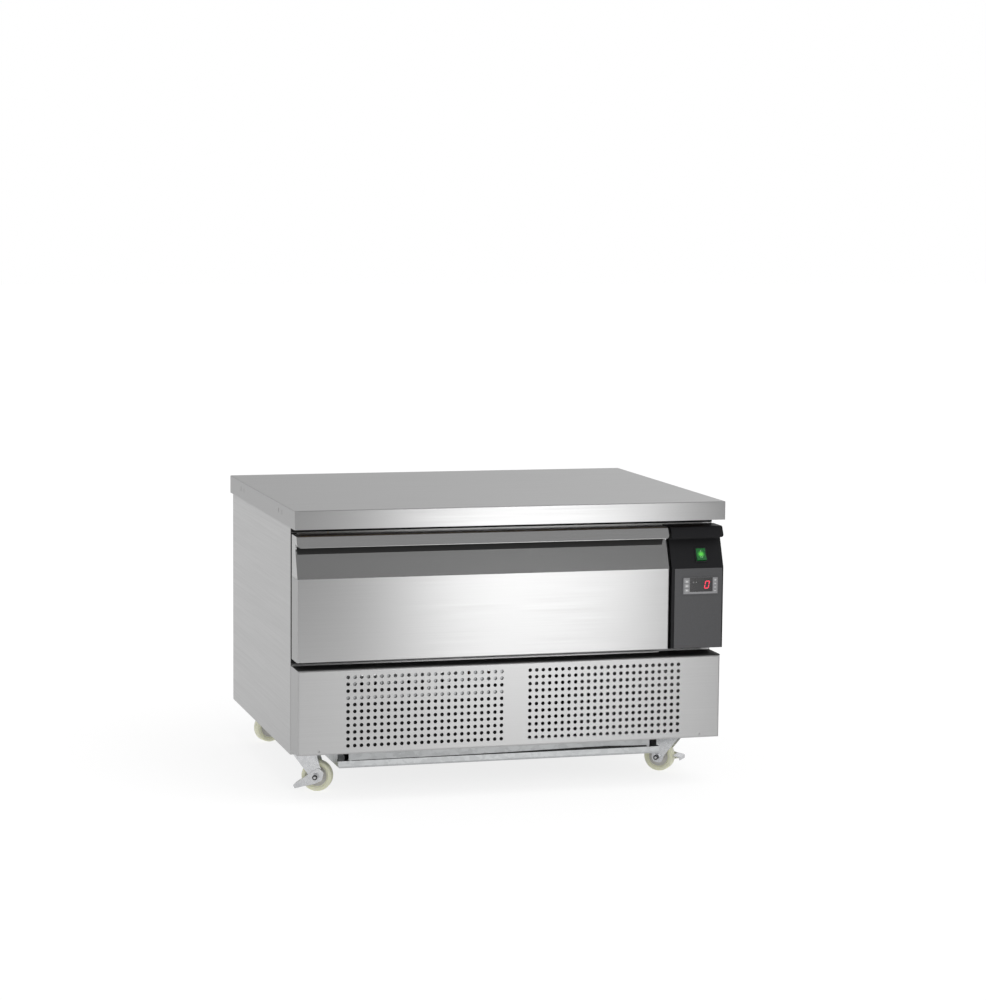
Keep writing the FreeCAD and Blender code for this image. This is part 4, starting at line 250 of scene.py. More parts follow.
def moulded_plastic(name, colour, grit, roughness, relief=0.12, gloss=0.5):
    """Injection moulding from a spark-eroded mould: an even fine grit that breaks up the gloss."""
    # The grit is 0.2 mm in the mould and is drawn some times coarser, because that is what still shows.
    return mottled(
        name, {"IOR": 1.53, "Specular IOR Level": gloss}, grit, (colour, darker(colour, 0.82)),
        roughness, relief=(relief, 0.1 * MM),
    )


def tinted_window():
    """Smoked acrylic over the display: dark and glossy, with a faint wipe mark in the gloss."""
    return mottled(
        "smoked_acrylic", {"IOR": 1.49, "Coat Weight": 0.4, "Coat Roughness": 0.06}, 14 * MM,
        (linear("#2a292a"), linear("#222122")), roughness=(0.16, 0.3), relief=(0.02, 0.1 * MM), detail=3.0,
    )


def lit_lens(name, lens, lamp, centre, reach):
    """Clear coloured plastic over a small lamp: brightest at the lamp, deep in colour away from it."""
    made, tree, shader, place = finish(
        name, {"IOR": 1.58, "Coat Weight": 0.3, "Coat Roughness": 0.1, "Emission Strength": 0.9}
    )
    ripple = add(tree, "ShaderNodeTexNoise", {"Vector": place, "Scale": 1 / (3 * MM), "Detail": 2.0})
    vary(tree, shader, ripple, (lens, darker(lens, 0.75)), (0.2, 0.32), (0.06, 0.2 * MM))
    away = add(tree, "ShaderNodeVectorMath", {0: place, 1: centre}, operation="DISTANCE")
    near = add(
        tree, "ShaderNodeMapRange", {"Value": away.outputs["Value"], "From Min": reach, "From Max": 0.0},
        interpolation_type="SMOOTHERSTEP",
    )
    glow = add(tree, "ShaderNodeMix", {0: near, 6: lens, 7: lamp}, data_type="RGBA")
    tree.links.new(glow.outputs[2], shader.inputs["Emission Color"])
    return made


def wheel_plastic(name, colour, roughness, soft):
    """Cast wheel plastic: slightly see-through at its edges, dulled and faintly scuffed by the floor."""
    deep = (4 * MM, 4 * MM, 2.5 * MM)
    return mottled(
        name, {"IOR": 1.5, "Subsurface Weight": soft, "Subsurface Radius": deep}, 5 * MM,
        (colour, darker(colour, 0.91)), roughness, relief=(0.08, 0.2 * MM), detail=5.0, grain=0.65,
    )


def rubber():
    """Extruded black rubber: matt, with a fine bloom that greys it in places."""
    return mottled(
        "extruded_black_rubber", {"IOR": 1.52, "Specular IOR Level": 0.4}, 6 * MM,
        (linear("#1b1b1b"), linear("#282827")),
        roughness=(0.52, 0.7), relief=(0.1, 0.2 * MM), detail=5.0, grain=0.7,
    )


def cut_foam(name, cell, colours):
    """Polyurethane foam: cut cells a millimetre or two across, darker in the middle of each cell and paler
    on its walls; the darker middle is painted shade in the cell's hollow.
    """
    made, tree, shader, place = finish(name, {"IOR": 1.4, "Specular IOR Level": 0.3})
    cells = add(tree, "ShaderNodeTexVoronoi", {"Vector": place, "Scale": 1 / cell})
    vary(tree, shader, cells, colours, (0.75, 0.9), (0.5, 0.5 * MM))
    return made


def chip_board():
    """Pressed wood chips: flat flakes about 7 mm long and 1 mm thick, in several browns."""
    made, tree, shader, place = finish("pressed_chip_board", {"IOR": 1.5})
    flat = add(tree, "ShaderNodeMapping", {"Vector": place, "Scale": (150, 150, 900)})
    flake = add(tree, "ShaderNodeTexVoronoi", {"Vector": flat, "Scale": 1.0})
    brown = add(tree, "ShaderNodeSeparateColor", {"Color": flake.outputs["Color"]})
    browns = (linear("#b4946a"), linear("#8f6f47"))
    vary(tree, shader, brown, browns, (0.7, 0.85), (0.3, 0.3 * MM))
    return made


def mill_aluminium():
    """Rolled aluminium foil and tube: pale, with dull spots and faint rolling lines about 1.4 mm apart."""
    made, tree, shader, place = finish("mill_aluminium", {"Metallic": 1.0})
    rolled = add(tree, "ShaderNodeMapping", {"Vector": place, "Scale": (60, 60, 700)})
    line = add(tree, "ShaderNodeTexNoise", {"Vector": rolled, "Scale": 1.0, "Detail": 3.0})
    greys = (linear("#d2d4d6"), linear("#b3b6b9"))
    vary(tree, shader, line, greys, (0.3, 0.46), (0.05, 0.2 * MM))
    return made


def drawn_copper():
    """Drawn copper tube: warm and bright, browned in patches by handling and heat."""
    return mottled(
        "drawn_copper", {"Metallic": 1.0}, 22 * MM, (linear("#a8704f"), linear("#6b4634")),
        roughness=(0.3, 0.5), relief=(0.05, 0.2 * MM), detail=5.0, grain=0.6,
    )


def baked_enamel(name, roughness, gloss):
    """Baked black enamel: glossy on steel and dull on fins, with the slow waves of a sprayed coat."""
    return mottled(
        name, {"IOR": 1.5, "Coat Weight": gloss, "Coat Roughness": 0.12}, 2.5 * MM,
        (linear("#151516"), linear("#1d1d1e")), roughness, relief=(0.12, 0.3 * MM), detail=1.0,
    )


def printed(name, colour):
    """Screen ink: flat and opaque, with the faint mesh of the screen in its edge and gloss."""
    return mottled(
        name, {"IOR": 1.5}, 0.8 * MM, (colour, darker(colour, 0.88)),
        roughness=(0.35, 0.5), relief=(0.05, 0.05 * MM), detail=1.0,
    )


def dress(made, *names):
    """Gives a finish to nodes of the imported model."""
    for name in names:
        for slot in NODES[name].material_slots:
            slot.material = made


# Shapes


def piece(name, shape, body, finishes, smooth_below=None):
    """Makes a piece from a shape, with smooth edges where faces meet at less than an angle in degrees."""
    mesh = bpy.data.meshes.new(name)
    bmesh.ops.recalc_face_normals(shape, faces=shape.faces)
    shape.to_mesh(mesh)
    shape.free()
    for each in finishes:
        mesh.materials.append(each)
    if smooth_below is not None:
        mesh.polygons.foreach_set("use_smooth", [True] * len(mesh.polygons))
        mesh.set_sharp_from_angle(angle=radians(smooth_below))
    made = bpy.data.objects.new(name, mesh)
    bpy.context.scene.collection.objects.link(made)
    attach(made, body)
    return made


def skin(shape, loops, place=Matrix.Identity(4), ring=False):
    """Joins loops of equal length into a closed skin: capped at both ends, or end to end as a ring."""
    rows = [[shape.verts.new(place @ Vector(point)) for point in loop] for loop in loops]
    following = rows[1:]
    if ring:
        following.append(rows[0])
    else:
        shape.faces.new(rows[0][::-1])
        shape.faces.new(rows[-1])
    for low, high in zip(rows, following):
        for i in range(len(low)):
            j = (i + 1) % len(low)
            shape.faces.new((low[i], low[j], high[j], high[i]))


def strip(shape, section, ends):
    """Runs a section of (y, z) points from one x to another."""
    skin(shape, [[(x, y, z) for y, z in section] for x in ends])


def turn(shape, outline, centre, axis, steps, border, outer):
    """Turns an outline of (along, radius) points about an axis, with its outer finish past a border."""
    side = axis.orthogonal().normalized()
    other = axis.cross(side)
    rows = []
    for i in range(steps):
        out = side * cos(2 * pi * i / steps) + other * sin(2 * pi * i / steps)
        rows.append([shape.verts.new(centre + axis * along + out * radius) for along, radius in outline])
    for i in range(steps):
        near, far = rows[i], rows[(i + 1) % steps]
        for j in range(len(outline)):
            k = (j + 1) % len(outline)
            face = shape.faces.new((near[j], near[k], far[k], far[j]))
            middle = (outline[j][1] + outline[k][1]) / 2
            face.material_index = outer if middle > border else 1 - outer


def lattice(shape, across, up, y, solid):
    """Lays the solid cells between lines across and up as flat faces."""
    corners = {}
    for i, j in solid:
        spots = ((i, j), (i + 1, j), (i + 1, j + 1), (i, j + 1))
        for a, b in spots:
            if (a, b) not in corners:
                corners[a, b] = shape.verts.new((across[a], y, up[b]))
        shape.faces.new([corners[spot] for spot in spots])


def thicken(shape, way):
    """Gives flat faces a thickness."""
    sheet = bmesh.ops.extrude_face_region(shape, geom=shape.faces[:])
    moved = [v for v in sheet["geom"] if isinstance(v, bmesh.types.BMVert)]
    bmesh.ops.translate(shape, verts=moved, vec=way)


def circle(radius, depth):
    """Points of a circle at a depth."""
    angles = [2 * pi * i / ROUND_STEPS for i in range(ROUND_STEPS)]
    return [(radius * cos(angle), radius * sin(angle), depth) for angle in angles]


def hexagon(radius, depth):
    """Points along a hexagon at a depth, as many as a circle has."""
    corners = [Vector((radius * cos(pi * i / 3), radius * sin(pi * i / 3), depth)) for i in range(7)]
    points = []
    for i in range(ROUND_STEPS):
        side, share = divmod(6 * i / ROUND_STEPS, 1)
        points.append(corners[int(side)].lerp(corners[int(side) + 1], share))
    return points


def rounded(width, height, radius, depth):
    """Points of a rectangle with rounded corners at a depth."""
    points = []
    for quarter, (side, end) in enumerate(((1, 1), (-1, 1), (-1, -1), (1, -1))):
        x, y = side * (width / 2 - radius), end * (height / 2 - radius)
        for step in range(CORNER_STEPS + 1):
            angle = pi / 2 * (quarter + step / CORNER_STEPS)
            points.append((x + radius * cos(angle), y + radius * sin(angle), depth))
    return points


def rectangle(width, height):
    """Corners of a rectangle about its middle."""
    x, y = width / 2, height / 2
    return [(-x, -y), (x, -y), (x, y), (-x, y)]


def plate(shape, outline, thickness, place):
    """A thin flat mark with this outline."""
    skin(shape, [[(u, v, w) for u, v in outline] for w in (0.0, thickness)], place)


def front(x, y, z):
    """Frame on a front face: first to the right, second up, third towards the viewer."""
    return Matrix(((1, 0, 0, x), (0, 0, -1, y), (0, 1, 0, z), (0, 0, 0, 1)))


def back(x, y, z):
    """Frame on a back face: first to the left, second up, third away from the cabinet."""
    return Matrix(((-1, 0, 0, x), (0, 0, 1, y), (0, 1, 0, z), (0, 0, 0, 1)))


def axle(corner):
    """Middle and direction of a caster's axle."""
    joint = JOINTS["roll_" + corner]
    return Vector(joint["pos_m"]), Vector(joint["axis"]).normalized()


# Pieces


class COUNTER_OT_steelwork(bpy.types.Operator):
    """Finishes the stainless shell, the drawer front and the worktop"""

    bl_idname = "counter.steelwork"
    bl_label = "Steelwork"

    def execute(self, context):
        colour = context.scene.counter_colours.steel[:]
        pitch = context.scene.counter_sizes.line_pitch
        across = brushed_stainless("satin_stainless_lines_along_x", colour, ALONG_X, pitch)
        dress(across, "worktop", "drawer_front_panel", "front_frame")
        deep = brushed_stainless("satin_stainless_lines_along_y", colour, ALONG_Y, pitch)
        dress(deep, "left_side_panel", "right_side_panel")
        folded = brushed_stainless(
            "satin_stainless_folded", colour, ALONG_X, pitch, roughness=(0.2, 0.26), spread=0.5
        )
        dress(folded, "drawer_handle", "handle_end_caps")
        punched = brushed_stainless(
            "satin_stainless_punched", colour, ALONG_X, pitch, roughness=(0.4, 0.47), spread=0.35
        )
        dress(punched, "grille_panel")
        return {"FINISHED"}


class COUNTER_OT_grille_screws(bpy.types.Operator):
    """Sets a countersunk socket screw at each lower corner of the grille panel"""

    bl_idname = "counter.grille_screws"
    bl_label = "Grille screws"

    def execute(self, context):
        low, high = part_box("grille_screws")
        radius = (high.z - low.z) / 2
        length = high.y - low.y
        shank, tip, socket = 0.6 * radius, 0.55 * radius, 0.55 * radius
        tip_bevel, rim, rim_bevel = 0.6 * MM, 0.5 * MM, 0.2 * MM
        socket_bevel, socket_depth = 0.3 * MM, 2.2 * MM
        loops = [
            circle(tip, -length), circle(shank, tip_bevel - length), circle(shank, -0.5 * length),
            circle(radius, -rim), circle(0.98 * radius, -rim_bevel), circle(0.9 * radius, 0.0),
            hexagon(shank, 0.0), hexagon(socket, -socket_bevel), hexagon(socket, -socket_depth),
        ]
        shape = bmesh.new()
        for x in (low.x + radius, high.x - radius):
            skin(shape, loops, front(x, low.y, (low.z + high.z) / 2))
        steel = context.scene.counter_colours.steel[:]
        turned = brushed_stainless(
            "satin_stainless_screws", steel, ALONG_Y, 1 * MM, roughness=(0.4, 0.47), spread=0.2
        )
        made = piece("grille_socket_screws", shape, "cabinet", [turned], smooth_below=35)
        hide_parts("grille_screws")
        return {"FINISHED"}


class COUNTER_OT_intake(bpy.types.Operator):
    """Lays a filter mat and a slotted plate behind the left field of holes"""

    bl_idname = "counter.intake"
    bl_label = "Air intake"

    def execute(self, context):
        low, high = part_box("condenser_coil")
        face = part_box("grille_panel")[0].y
        past_left, past_right = 22 * MM, 24 * MM
        left, right = low.x - past_left, high.x + past_right
        foot, split, roof = 110 * MM, 236 * MM, 267 * MM
        mat_behind, plate_behind, thickness = 5.4 * MM, 4.2 * MM, 1 * MM

        # Loops of the mat: how far they lie inside its outline, their corner radius and depth, in mm.
        profile = ((4, 4, 0), (1, 5, -0.8), (0, 6, -2), (0, 6, -6), (3, 5, -7))
        width, height = right - left, split - foot
        loops = [
            rounded(width - inside * MM, height - inside * MM, corner * MM, depth * MM)
            for inside, corner, depth in profile
        ]
        shape = bmesh.new()
        skin(shape, loops, front((left + right) / 2, face + mat_behind, (foot + split) / 2))
        mat = cut_foam("black_filter_foam", 1.2 * MM, (linear("#232324"), linear("#303031")))
        piece("intake_filter_mat", shape, "cabinet", [mat], smooth_below=40)

        # Slots a little narrower than the ribs between them, three of them to seven columns of holes.
        pitch, slot, margin = 32.2 * MM, 14 * MM, 2 * MM
        across = [left]
        for i in range(int((right - left) / pitch)):
            start = left + margin + i * pitch
            across += [start, start + slot]
        across.append(right)
        # From its foot up the plate has a strip, a row of wide gaps, a row of slots and a strip.
        up = [split - 27 * MM, split - 16 * MM, split, roof - 5 * MM, roof]
        gap_row, slot_row, post_every = 1, 2, 12
        solid = [
            (i, j) for i in range(len(across) - 1) for j in range(len(up) - 1)
            if not (j == slot_row and i % 2) and not (j == gap_row and i % post_every)
        ]
        shape = bmesh.new()
        lattice(shape, across, up, face + plate_behind, solid)
        thicken(shape, (0, thickness, 0))
        # The plate's grey is taken down to 0.6 of the galvanised grey: painted shade behind the grille
        # sheet.
        grey = darker(context.scene.counter_colours.galvanised[:], 0.6)
        dull = galvanised_sheet("plate_shade_galvanised_sheet", grey)
        piece("intake_slotted_plate", shape, "cabinet", [dull])
        return {"FINISHED"}


class COUNTER_OT_pocket_shade_liner(bpy.types.Operator):
    """Lines the pocket behind the drawer's lip with black rubber, a dark sheet that paints the shade inside
    the pocket under the lip
    """

    bl_idname = "counter.grip_liner"
    bl_label = "Grip liner"

    def execute(self, context):
        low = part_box("drawer_handle")[0]
        # The pocket in the handle's section, as run and rise: a sloped back, a roof and a lip before it.
        slope = Vector((24, 62)).normalized()
        lip = Vector((11.5, 22)).normalized()
        roof_rise, lip_rise = 73 * MM, 11 * MM
        nose_run, nose_rise = 7 * MM, 62 * MM
        foot = Vector((low.y, low.z))
        roof = low.z + roof_rise
        rear = foot + slope * (roof_rise / slope.y)
        nose = Vector((low.y + nose_run, low.z + nose_rise))
        ahead = nose + lip * (lip_rise / lip.y)

        # The liner follows those walls, thin at its foot: up the slope, across the roof, down the lip.
        off_slope = Vector((-slope.y, slope.x))
        off_roof = Vector((0, -1))
        off_lip = Vector((lip.y, -lip.x))
        foot_rise, full_rise = 47.5 * MM, 54 * MM
        rear_bend, front_bend, nose_gap = 6.4 * MM, 3 * MM, 2 * MM
        gap, thin, half, full = 0.15 * MM, 0.3 * MM, 1.1 * MM, 1.3 * MM
        walls = [
            (foot + slope * (foot_rise / slope.y), off_slope, thin),
            (foot + slope * (full_rise / slope.y), off_slope, half),
            (rear - slope * rear_bend, off_slope, full),
            (Vector((rear.x - rear_bend, roof)), off_roof, full),
            (Vector((ahead.x + front_bend, roof)), off_roof, full),
            (ahead - lip * front_bend, off_lip, full),
            (nose + lip * nose_gap, off_lip, full),
        ]
        section = [point + way * gap for point, way, _ in walls]
        section += [point + way * thick for point, way, thick in walls[::-1]]

        # It stops short of the right end, in mm, at its foot by more than at its roof.
        left_gap = 3.3 * MM
        short = [11, 9, 6, 6, 6, 6, 6]
        short += short[::-1]
        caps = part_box("handle_end_caps")
        start = [(caps[0].x + left_gap, point.x, point.y) for point in section]
        stop = [(caps[1].x - less * MM, point.x, point.y) for point, less in zip(section, short)]
        shape = bmesh.new()
        skin(shape, [start, stop])
        # The black liner paints the shade in the pocket under the lip.
        piece("pocket_shade_liner", shape, "drawer", [rubber()], smooth_below=40)
        return {"FINISHED"}


class COUNTER_OT_seals(bpy.types.Operator):
    """Seals the joints round the drawer and below the grille with black strips that also paint the shade in
    those gaps, with a steel drip angle on the lower seal, and blackens the slot above the tray's lip as
    painted shade
    """

    bl_idname = "counter.seals"
    bl_label = "Seals"

    def execute(self, context):
        black = rubber()
        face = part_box("front_frame")[0].y
        under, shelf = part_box("worktop")[0].z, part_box("grille_panel")[1].z
        inset = 1 * MM
        left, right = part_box("left_side_panel")[0].x + inset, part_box("right_side_panel")[1].x - inset
        # Sections in mm: out from the frame's face, and away from the piece beside the strip.
        bulb = [(0.1, 0.3), (2.2, 0.3), (2.6, 5), (2.9, 9), (2.2, 11.2), (1.0, 12), (0.1, 12)]
        flat = [(0.2, 0.1), (0.2, 0.8), (0.6, 1.2), (64.4, 1.2), (64.8, 0.8), (64.8, 0.1)]
        raised, nearer = 5, 0.3
        heights = (shelf + 18 * MM, under - 13 * MM)
        # The black strips under the worktop, under the drawer, on the grille's top and at the left stile
        # stand partly for seals and partly for the shade in those gaps: painted shade.
        shape = bmesh.new()
        strip(shape, [(face - out * MM, under - off * MM) for out, off in bulb], (left, right))
        strip(shape, [(face - out * MM, shelf + (raised + off) * MM) for out, off in bulb], (left, right))
        strip(shape, [(face - out * MM, shelf + off * MM) for out, off in flat], (left, right))
        section = [(left + (off - nearer) * MM, face - out * MM) for out, off in bulb]
        skin(shape, [[(x, y, z) for x, y in section] for z in heights])
        piece("frame_seals_and_gap_shade", shape, "cabinet", [black], smooth_below=40)

        # The angle keeps drips out. Its edge leans back a little.
        angle = [(10, 1.25), (15.6, 1.25), (15.9, 1.6), (15.5, 4.9)]
        angle += [(15.2, 5.2), (14.6, 5.2), (14.9, 2.1), (10, 2.1)]
        ends = (left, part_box("drawer_gasket")[1].x)
        shape = bmesh.new()
        strip(shape, [(face - out * MM, shelf + off * MM) for out, off in angle], ends)
        steel = context.scene.counter_colours.steel[:]
        pitch = context.scene.counter_sizes.line_pitch
        satin = brushed_stainless("satin_stainless_strip", steel, ALONG_X, pitch)
        piece("drip_angle", shape, "cabinet", [satin], smooth_below=40)

        # A black strip between the tray's front lip and the baffle that paints the shade in the slot between
        # them, taller towards the right: share of the baffle's length, and height of the strip there in mm.
        slot_shade_heights = ((0.01, 0.7), (0.3, 1.0), (0.52, 2.2), (0.72, 4.4), (0.86, 5.4), (0.94, 3.6), (0.99, 3.0))
        tray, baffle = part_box("machine_tray")[0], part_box("front_baffle")
        lip_rise, bevel, from_lip, from_baffle = 15.1 * MM, 0.2 * MM, 0.2 * MM, 0.05 * MM
        foot = tray.z + lip_rise
        near, far = tray.y + from_lip, baffle[0].y - from_baffle
        loops = []
        for share, height in slot_shade_heights:
            x = baffle[0].x + share * (baffle[1].x - baffle[0].x)
            top = foot + height * MM
            section = [(far, foot), (near, foot), (near, top - bevel), (near + bevel, top), (far, top)]
            loops.append([(x, y, z) for y, z in section])
        shape = bmesh.new()
        skin(shape, loops)
        piece("tray_slot_shade_strip", shape, "cabinet", [black], smooth_below=40)
        return {"FINISHED"}


class COUNTER_OT_back_screws(bpy.types.Operator):
    """Fixes the back with flanged hexagon screws"""

    bl_idname = "counter.back_screws"
    bl_label = "Back screws"

    def execute(self, context):
        low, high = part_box("back_panel")
        count = context.scene.counter_sizes.back_screws
        from_edge, from_end = 12 * MM, 48 * MM
        # Radius and height of the flange and of the head on it, in mm.
        flange = ((5.2, 0.0), (5.2, 0.5), (4.6, 0.9))
        head = ((3.9, 1.1), (3.9, 3.4), (3.4, 3.8))
        loops = [circle(radius * MM, height * MM) for radius, height in flange]
        loops += [hexagon(radius * MM, height * MM) for radius, height in head]
        shape = bmesh.new()
        for i in range(count):
            x = low.x + from_end + (high.x - low.x - 2 * from_end) * i / (count - 1)
            for z in (low.z + from_edge, high.z - from_edge):
                skin(shape, loops, back(x, high.y, z))
        zinc = bright_zinc(context.scene.counter_colours.zinc[:])
        piece("back_panel_screws", shape, "cabinet", [zinc], smooth_below=35)
        return {"FINISHED"}


class COUNTER_OT_machine(bpy.types.Operator):
    """Finishes the back, the base and what stands on the machine tray"""

    bl_idname = "counter.machine"
    bl_label = "Machine compartment"

    def execute(self, context):
        colours = context.scene.counter_colours
        grey = colours.galvanised[:]
        sheet = galvanised_sheet("galvanised_sheet", grey)
        dress(sheet, "back_panel", "base_rails", "cabinet_floor_plate", "machine_tray", "fan_shroud")
        # The baffle's grey is taken down to 0.76 of the galvanised grey: painted shade on the baffle below
        # the grille.
        dress(galvanised_sheet("baffle_shade_galvanised_sheet", darker(grey, 0.76)), "front_baffle")
        dress(mill_aluminium(), "condenser_fan_blade", "evaporator_coil")
        glossy = baked_enamel("glossy_black_enamel", roughness=(0.26, 0.36), gloss=0.5)
        dress(glossy, "compressor", "condenser_fan_motor")
        dress(baked_enamel("dull_black_enamel", roughness=(0.55, 0.7), gloss=0.0), "condenser_coil")
        dress(drawn_copper(), "refrigerant_pipes", "filter_drier")
        pan = wheel_plastic("moulded_polypropylene", linear("#c4c4be"), roughness=(0.4, 0.55), soft=0.15)
        dress(pan, "condensate_tray")
        dress(rubber(), "compressor_mounts", "drain_hose", "drawer_gasket")
        black = moulded_plastic("moulded_black_nylon", colours.housing[:], 1.2 * MM, roughness=(0.42, 0.56))
        dress(black, "cable_gland", "evaporator_fan_frame", "evaporator_fan_blade")
        return {"FINISHED"}


class COUNTER_OT_cold_space(bpy.types.Operator):
    """Finishes the liner, the drawer's frame and runners and the insulation"""

    bl_idname = "counter.cold_space"
    bl_label = "Cold space"

    def execute(self, context):
        colours = context.scene.counter_colours
        pitch = 1.5 * context.scene.counter_sizes.line_pitch
        mill = brushed_stainless("mill_stainless", colours.steel[:], ALONG_Y, pitch, roughness=(0.26, 0.34))
        dress(mill, "inner_liner", "drawer_inner_panel", "drawer_frame", "evaporator_baffle")
        zinc = bright_zinc(colours.zinc[:])
        dress(zinc, "cabinet_runners", "middle_runners", "drawer_runners")
        foam = cut_foam("blown_polyurethane", 1.5 * MM, (linear("#c9b57a"), linear("#dccb95")))
        dress(foam, "insulation_foam", "drawer_front_foam")
        dress(chip_board(), "worktop_core")
        return {"FINISHED"}


class COUNTER_OT_controls(bpy.types.Operator):
    """Finishes the control housing, its fascia, the controller and the switch"""

    bl_idname = "counter.controls"
    bl_label = "Controls"

    def execute(self, context):
        colours = context.scene.counter_colours
        black = colours.housing[:]
        housing = moulded_plastic("moulded_black_abs", black, 1.5 * MM, roughness=(0.4, 0.55), gloss=0.16)
        dress(housing, "control_housing")
        switch = moulded_plastic("moulded_black_switch", darker(black, 0.7), 1 * MM, roughness=(0.3, 0.42))
        dress(switch, "switch_body")
        film = moulded_plastic(
            "grey_polyester_film", colours.fascia[:], 1.2 * MM, roughness=(0.4, 0.52), relief=0.06
        )
        dress(film, "control_fascia")
        case = moulded_plastic(
            "moulded_controller_abs", colours.controller[:], 1 * MM, roughness=(0.36, 0.48)
        )
        dress(case, "controller_body")
        dress(moulded_plastic("silicone_keys", colours.key[:], 1 * MM, roughness=(0.5, 0.62)), *KEYS)
        dress(tinted_window(), "display_window")
        low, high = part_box("rocker_button")
        lens = lit_lens(
            "green_polycarbonate", colours.lens[:], colours.lamp[:], (low + high) / 2, reach=9.5 * MM
        )
        dress(lens, "rocker_button")
        return {"FINISHED"}


class COUNTER_OT_display(bpy.types.Operator):
    """Draws the lit digit and the signs in the display window and on the keys"""

    bl_idname = "counter.display"
    bl_label = "Display and signs"

    def execute(self, context):
        colour = context.scene.counter_colours.digit[:]
        sizes = context.scene.counter_sizes
        low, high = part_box("display_window")
        middle = (low + high) / 2

        # The digit: bars with pointed ends between six corners, a small gap apart.
        height = sizes.digit_height / 2
        width, bar = 0.29 * sizes.digit_height, 0.13 * sizes.digit_height
        lean = tan(sizes.digit_slant)
        gap, from_right = 0.15 * MM, 12.5 * MM
        corner = {
            "a": (-width, height), "b": (width, height), "c": (-width, 0.0),
            "d": (width, 0.0), "e": (-width, -height), "f": (width, -height),
        }
        where = front(high.x - from_right, low.y, middle.z)
        shape = bmesh.new()
        for ends in ("ab", "bd", "df", "ef", "ce", "ac"):
            start, stop = (Vector(corner[end]) for end in ends)
            way = (stop - start).normalized()
            half = Vector((-way.y, way.x)) * bar / 2
            start = start + way * gap
            stop = stop - way * gap
            outline = [
                start, start + way * bar / 2 - half, stop - way * bar / 2 - half,
                stop, stop - way * bar / 2 + half, start + way * bar / 2 + half,
            ]
            plate(shape, [(p.x + p.y * lean, p.y) for p in outline], INK, where)
        light = lit_lens("red_light_segments", darker(colour, 0.9), colour, middle, reach=1.0)
        piece("display_digit", shape, "cabinet", [light])

        # A star of three bars and a triangle in the upper left of the window.
        star_across, triangle_across, below = 8 * MM, 14 * MM, 9 * MM
        star = front(low.x + star_across, low.y, high.z - below)
        shape = bmesh.new()
        for i in range(3):
            plate(shape, rectangle(3.6 * MM, 0.7 * MM), INK, star @ Matrix.Rotation(pi * i / 3, 4, "Z"))
        triangle = [(-1.3 * MM, -1 * MM), (1.3 * MM, -1 * MM), (0, 1.6 * MM)]
        plate(shape, triangle, INK, front(low.x + triangle_across, low.y, high.z - below))
        dim = printed("dim_screen_ink", linear("#8a8a8a"))
        piece("display_signs", shape, "cabinet", [dim])

        # An arrow up, a bar and an arrow down on the keys.
        white = printed("white_screen_ink", linear("#d9d9d9"))
        half, foot, tip = 2.2 * MM, 1.5 * MM, 1.9 * MM
        arrow_up = [(-half, -foot), (half, -foot), (0, tip)]
        arrow_down = [(-half, foot), (0, -tip), (half, foot)]
        for key, outline in zip(KEYS, (arrow_up, rectangle(4.2 * MM, 2.2 * MM), arrow_down)):
            low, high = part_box(key)
            shape = bmesh.new()
            plate(shape, outline, INK, front((low.x + high.x) / 2, low.y, (low.z + high.z) / 2))
            piece(key + "_sign", shape, key, [white])
        return {"FINISHED"}


class COUNTER_OT_controller_film(bpy.types.Operator):
    """Lays the controller's film round its window and keys, and prints a column of signs on it"""

    bl_idname = "counter.controller_film"
    bl_label = "Controller film"

    def execute(self, context):
        window_low, window_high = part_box("display_window")
        low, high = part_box("controller_body")
        keys = [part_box(key) for key in KEYS]
        gap, side_margin, end_margin = 0.4 * MM, 2.5 * MM, 2 * MM
        left, right = low.x + side_margin, high.x - side_margin
        foot, roof = low.z + end_margin, high.z - end_margin
        across = [left, keys[0][0].x - gap, keys[0][1].x + gap, window_low.x, window_high.x, right]
        up = sorted([foot, window_low.z, roof] + [k[0].z - gap for k in keys] + [k[1].z + gap for k in keys])
        solid = []
        for i in range(len(across) - 1):
            for j in range(len(up) - 1):
                x, z = (across[i] + across[i + 1]) / 2, (up[j] + up[j + 1]) / 2
                on_window = window_low.x < x < window_high.x and z > window_low.z
                on_key = any(k[0].x < x < k[1].x and k[0].z < z < k[1].z for k in keys)
                if not on_window and not on_key:
                    solid.append((i, j))
        shape = bmesh.new()
        lattice(shape, across, up, low.y, solid)
        thicken(shape, (0, -INK, 0))
        film = printed("grey_screen_ink", context.scene.counter_colours.legend[:])
        piece("controller_film", shape, "cabinet", [film])

        # Four crosses to the right of the window, each with a shorter upright than the one above it.
        first, step = 0.16, 0.225
        wide, line, tall, shorter = 4.6 * MM, 1.1 * MM, 4.2 * MM, 0.8 * MM
        shape = bmesh.new()
        for i in range(4):
            z = roof - (roof - foot) * (first + step * i)
            where = front((window_high.x + right) / 2, low.y - INK, z)
            plate(shape, rectangle(wide, line), INK, where)
            plate(shape, rectangle(line, tall - shorter * i), INK, where)
        white = printed("white_screen_ink", linear("#d9d9d9"))
        piece("controller_signs", shape, "cabinet", [white])
        return {"FINISHED"}


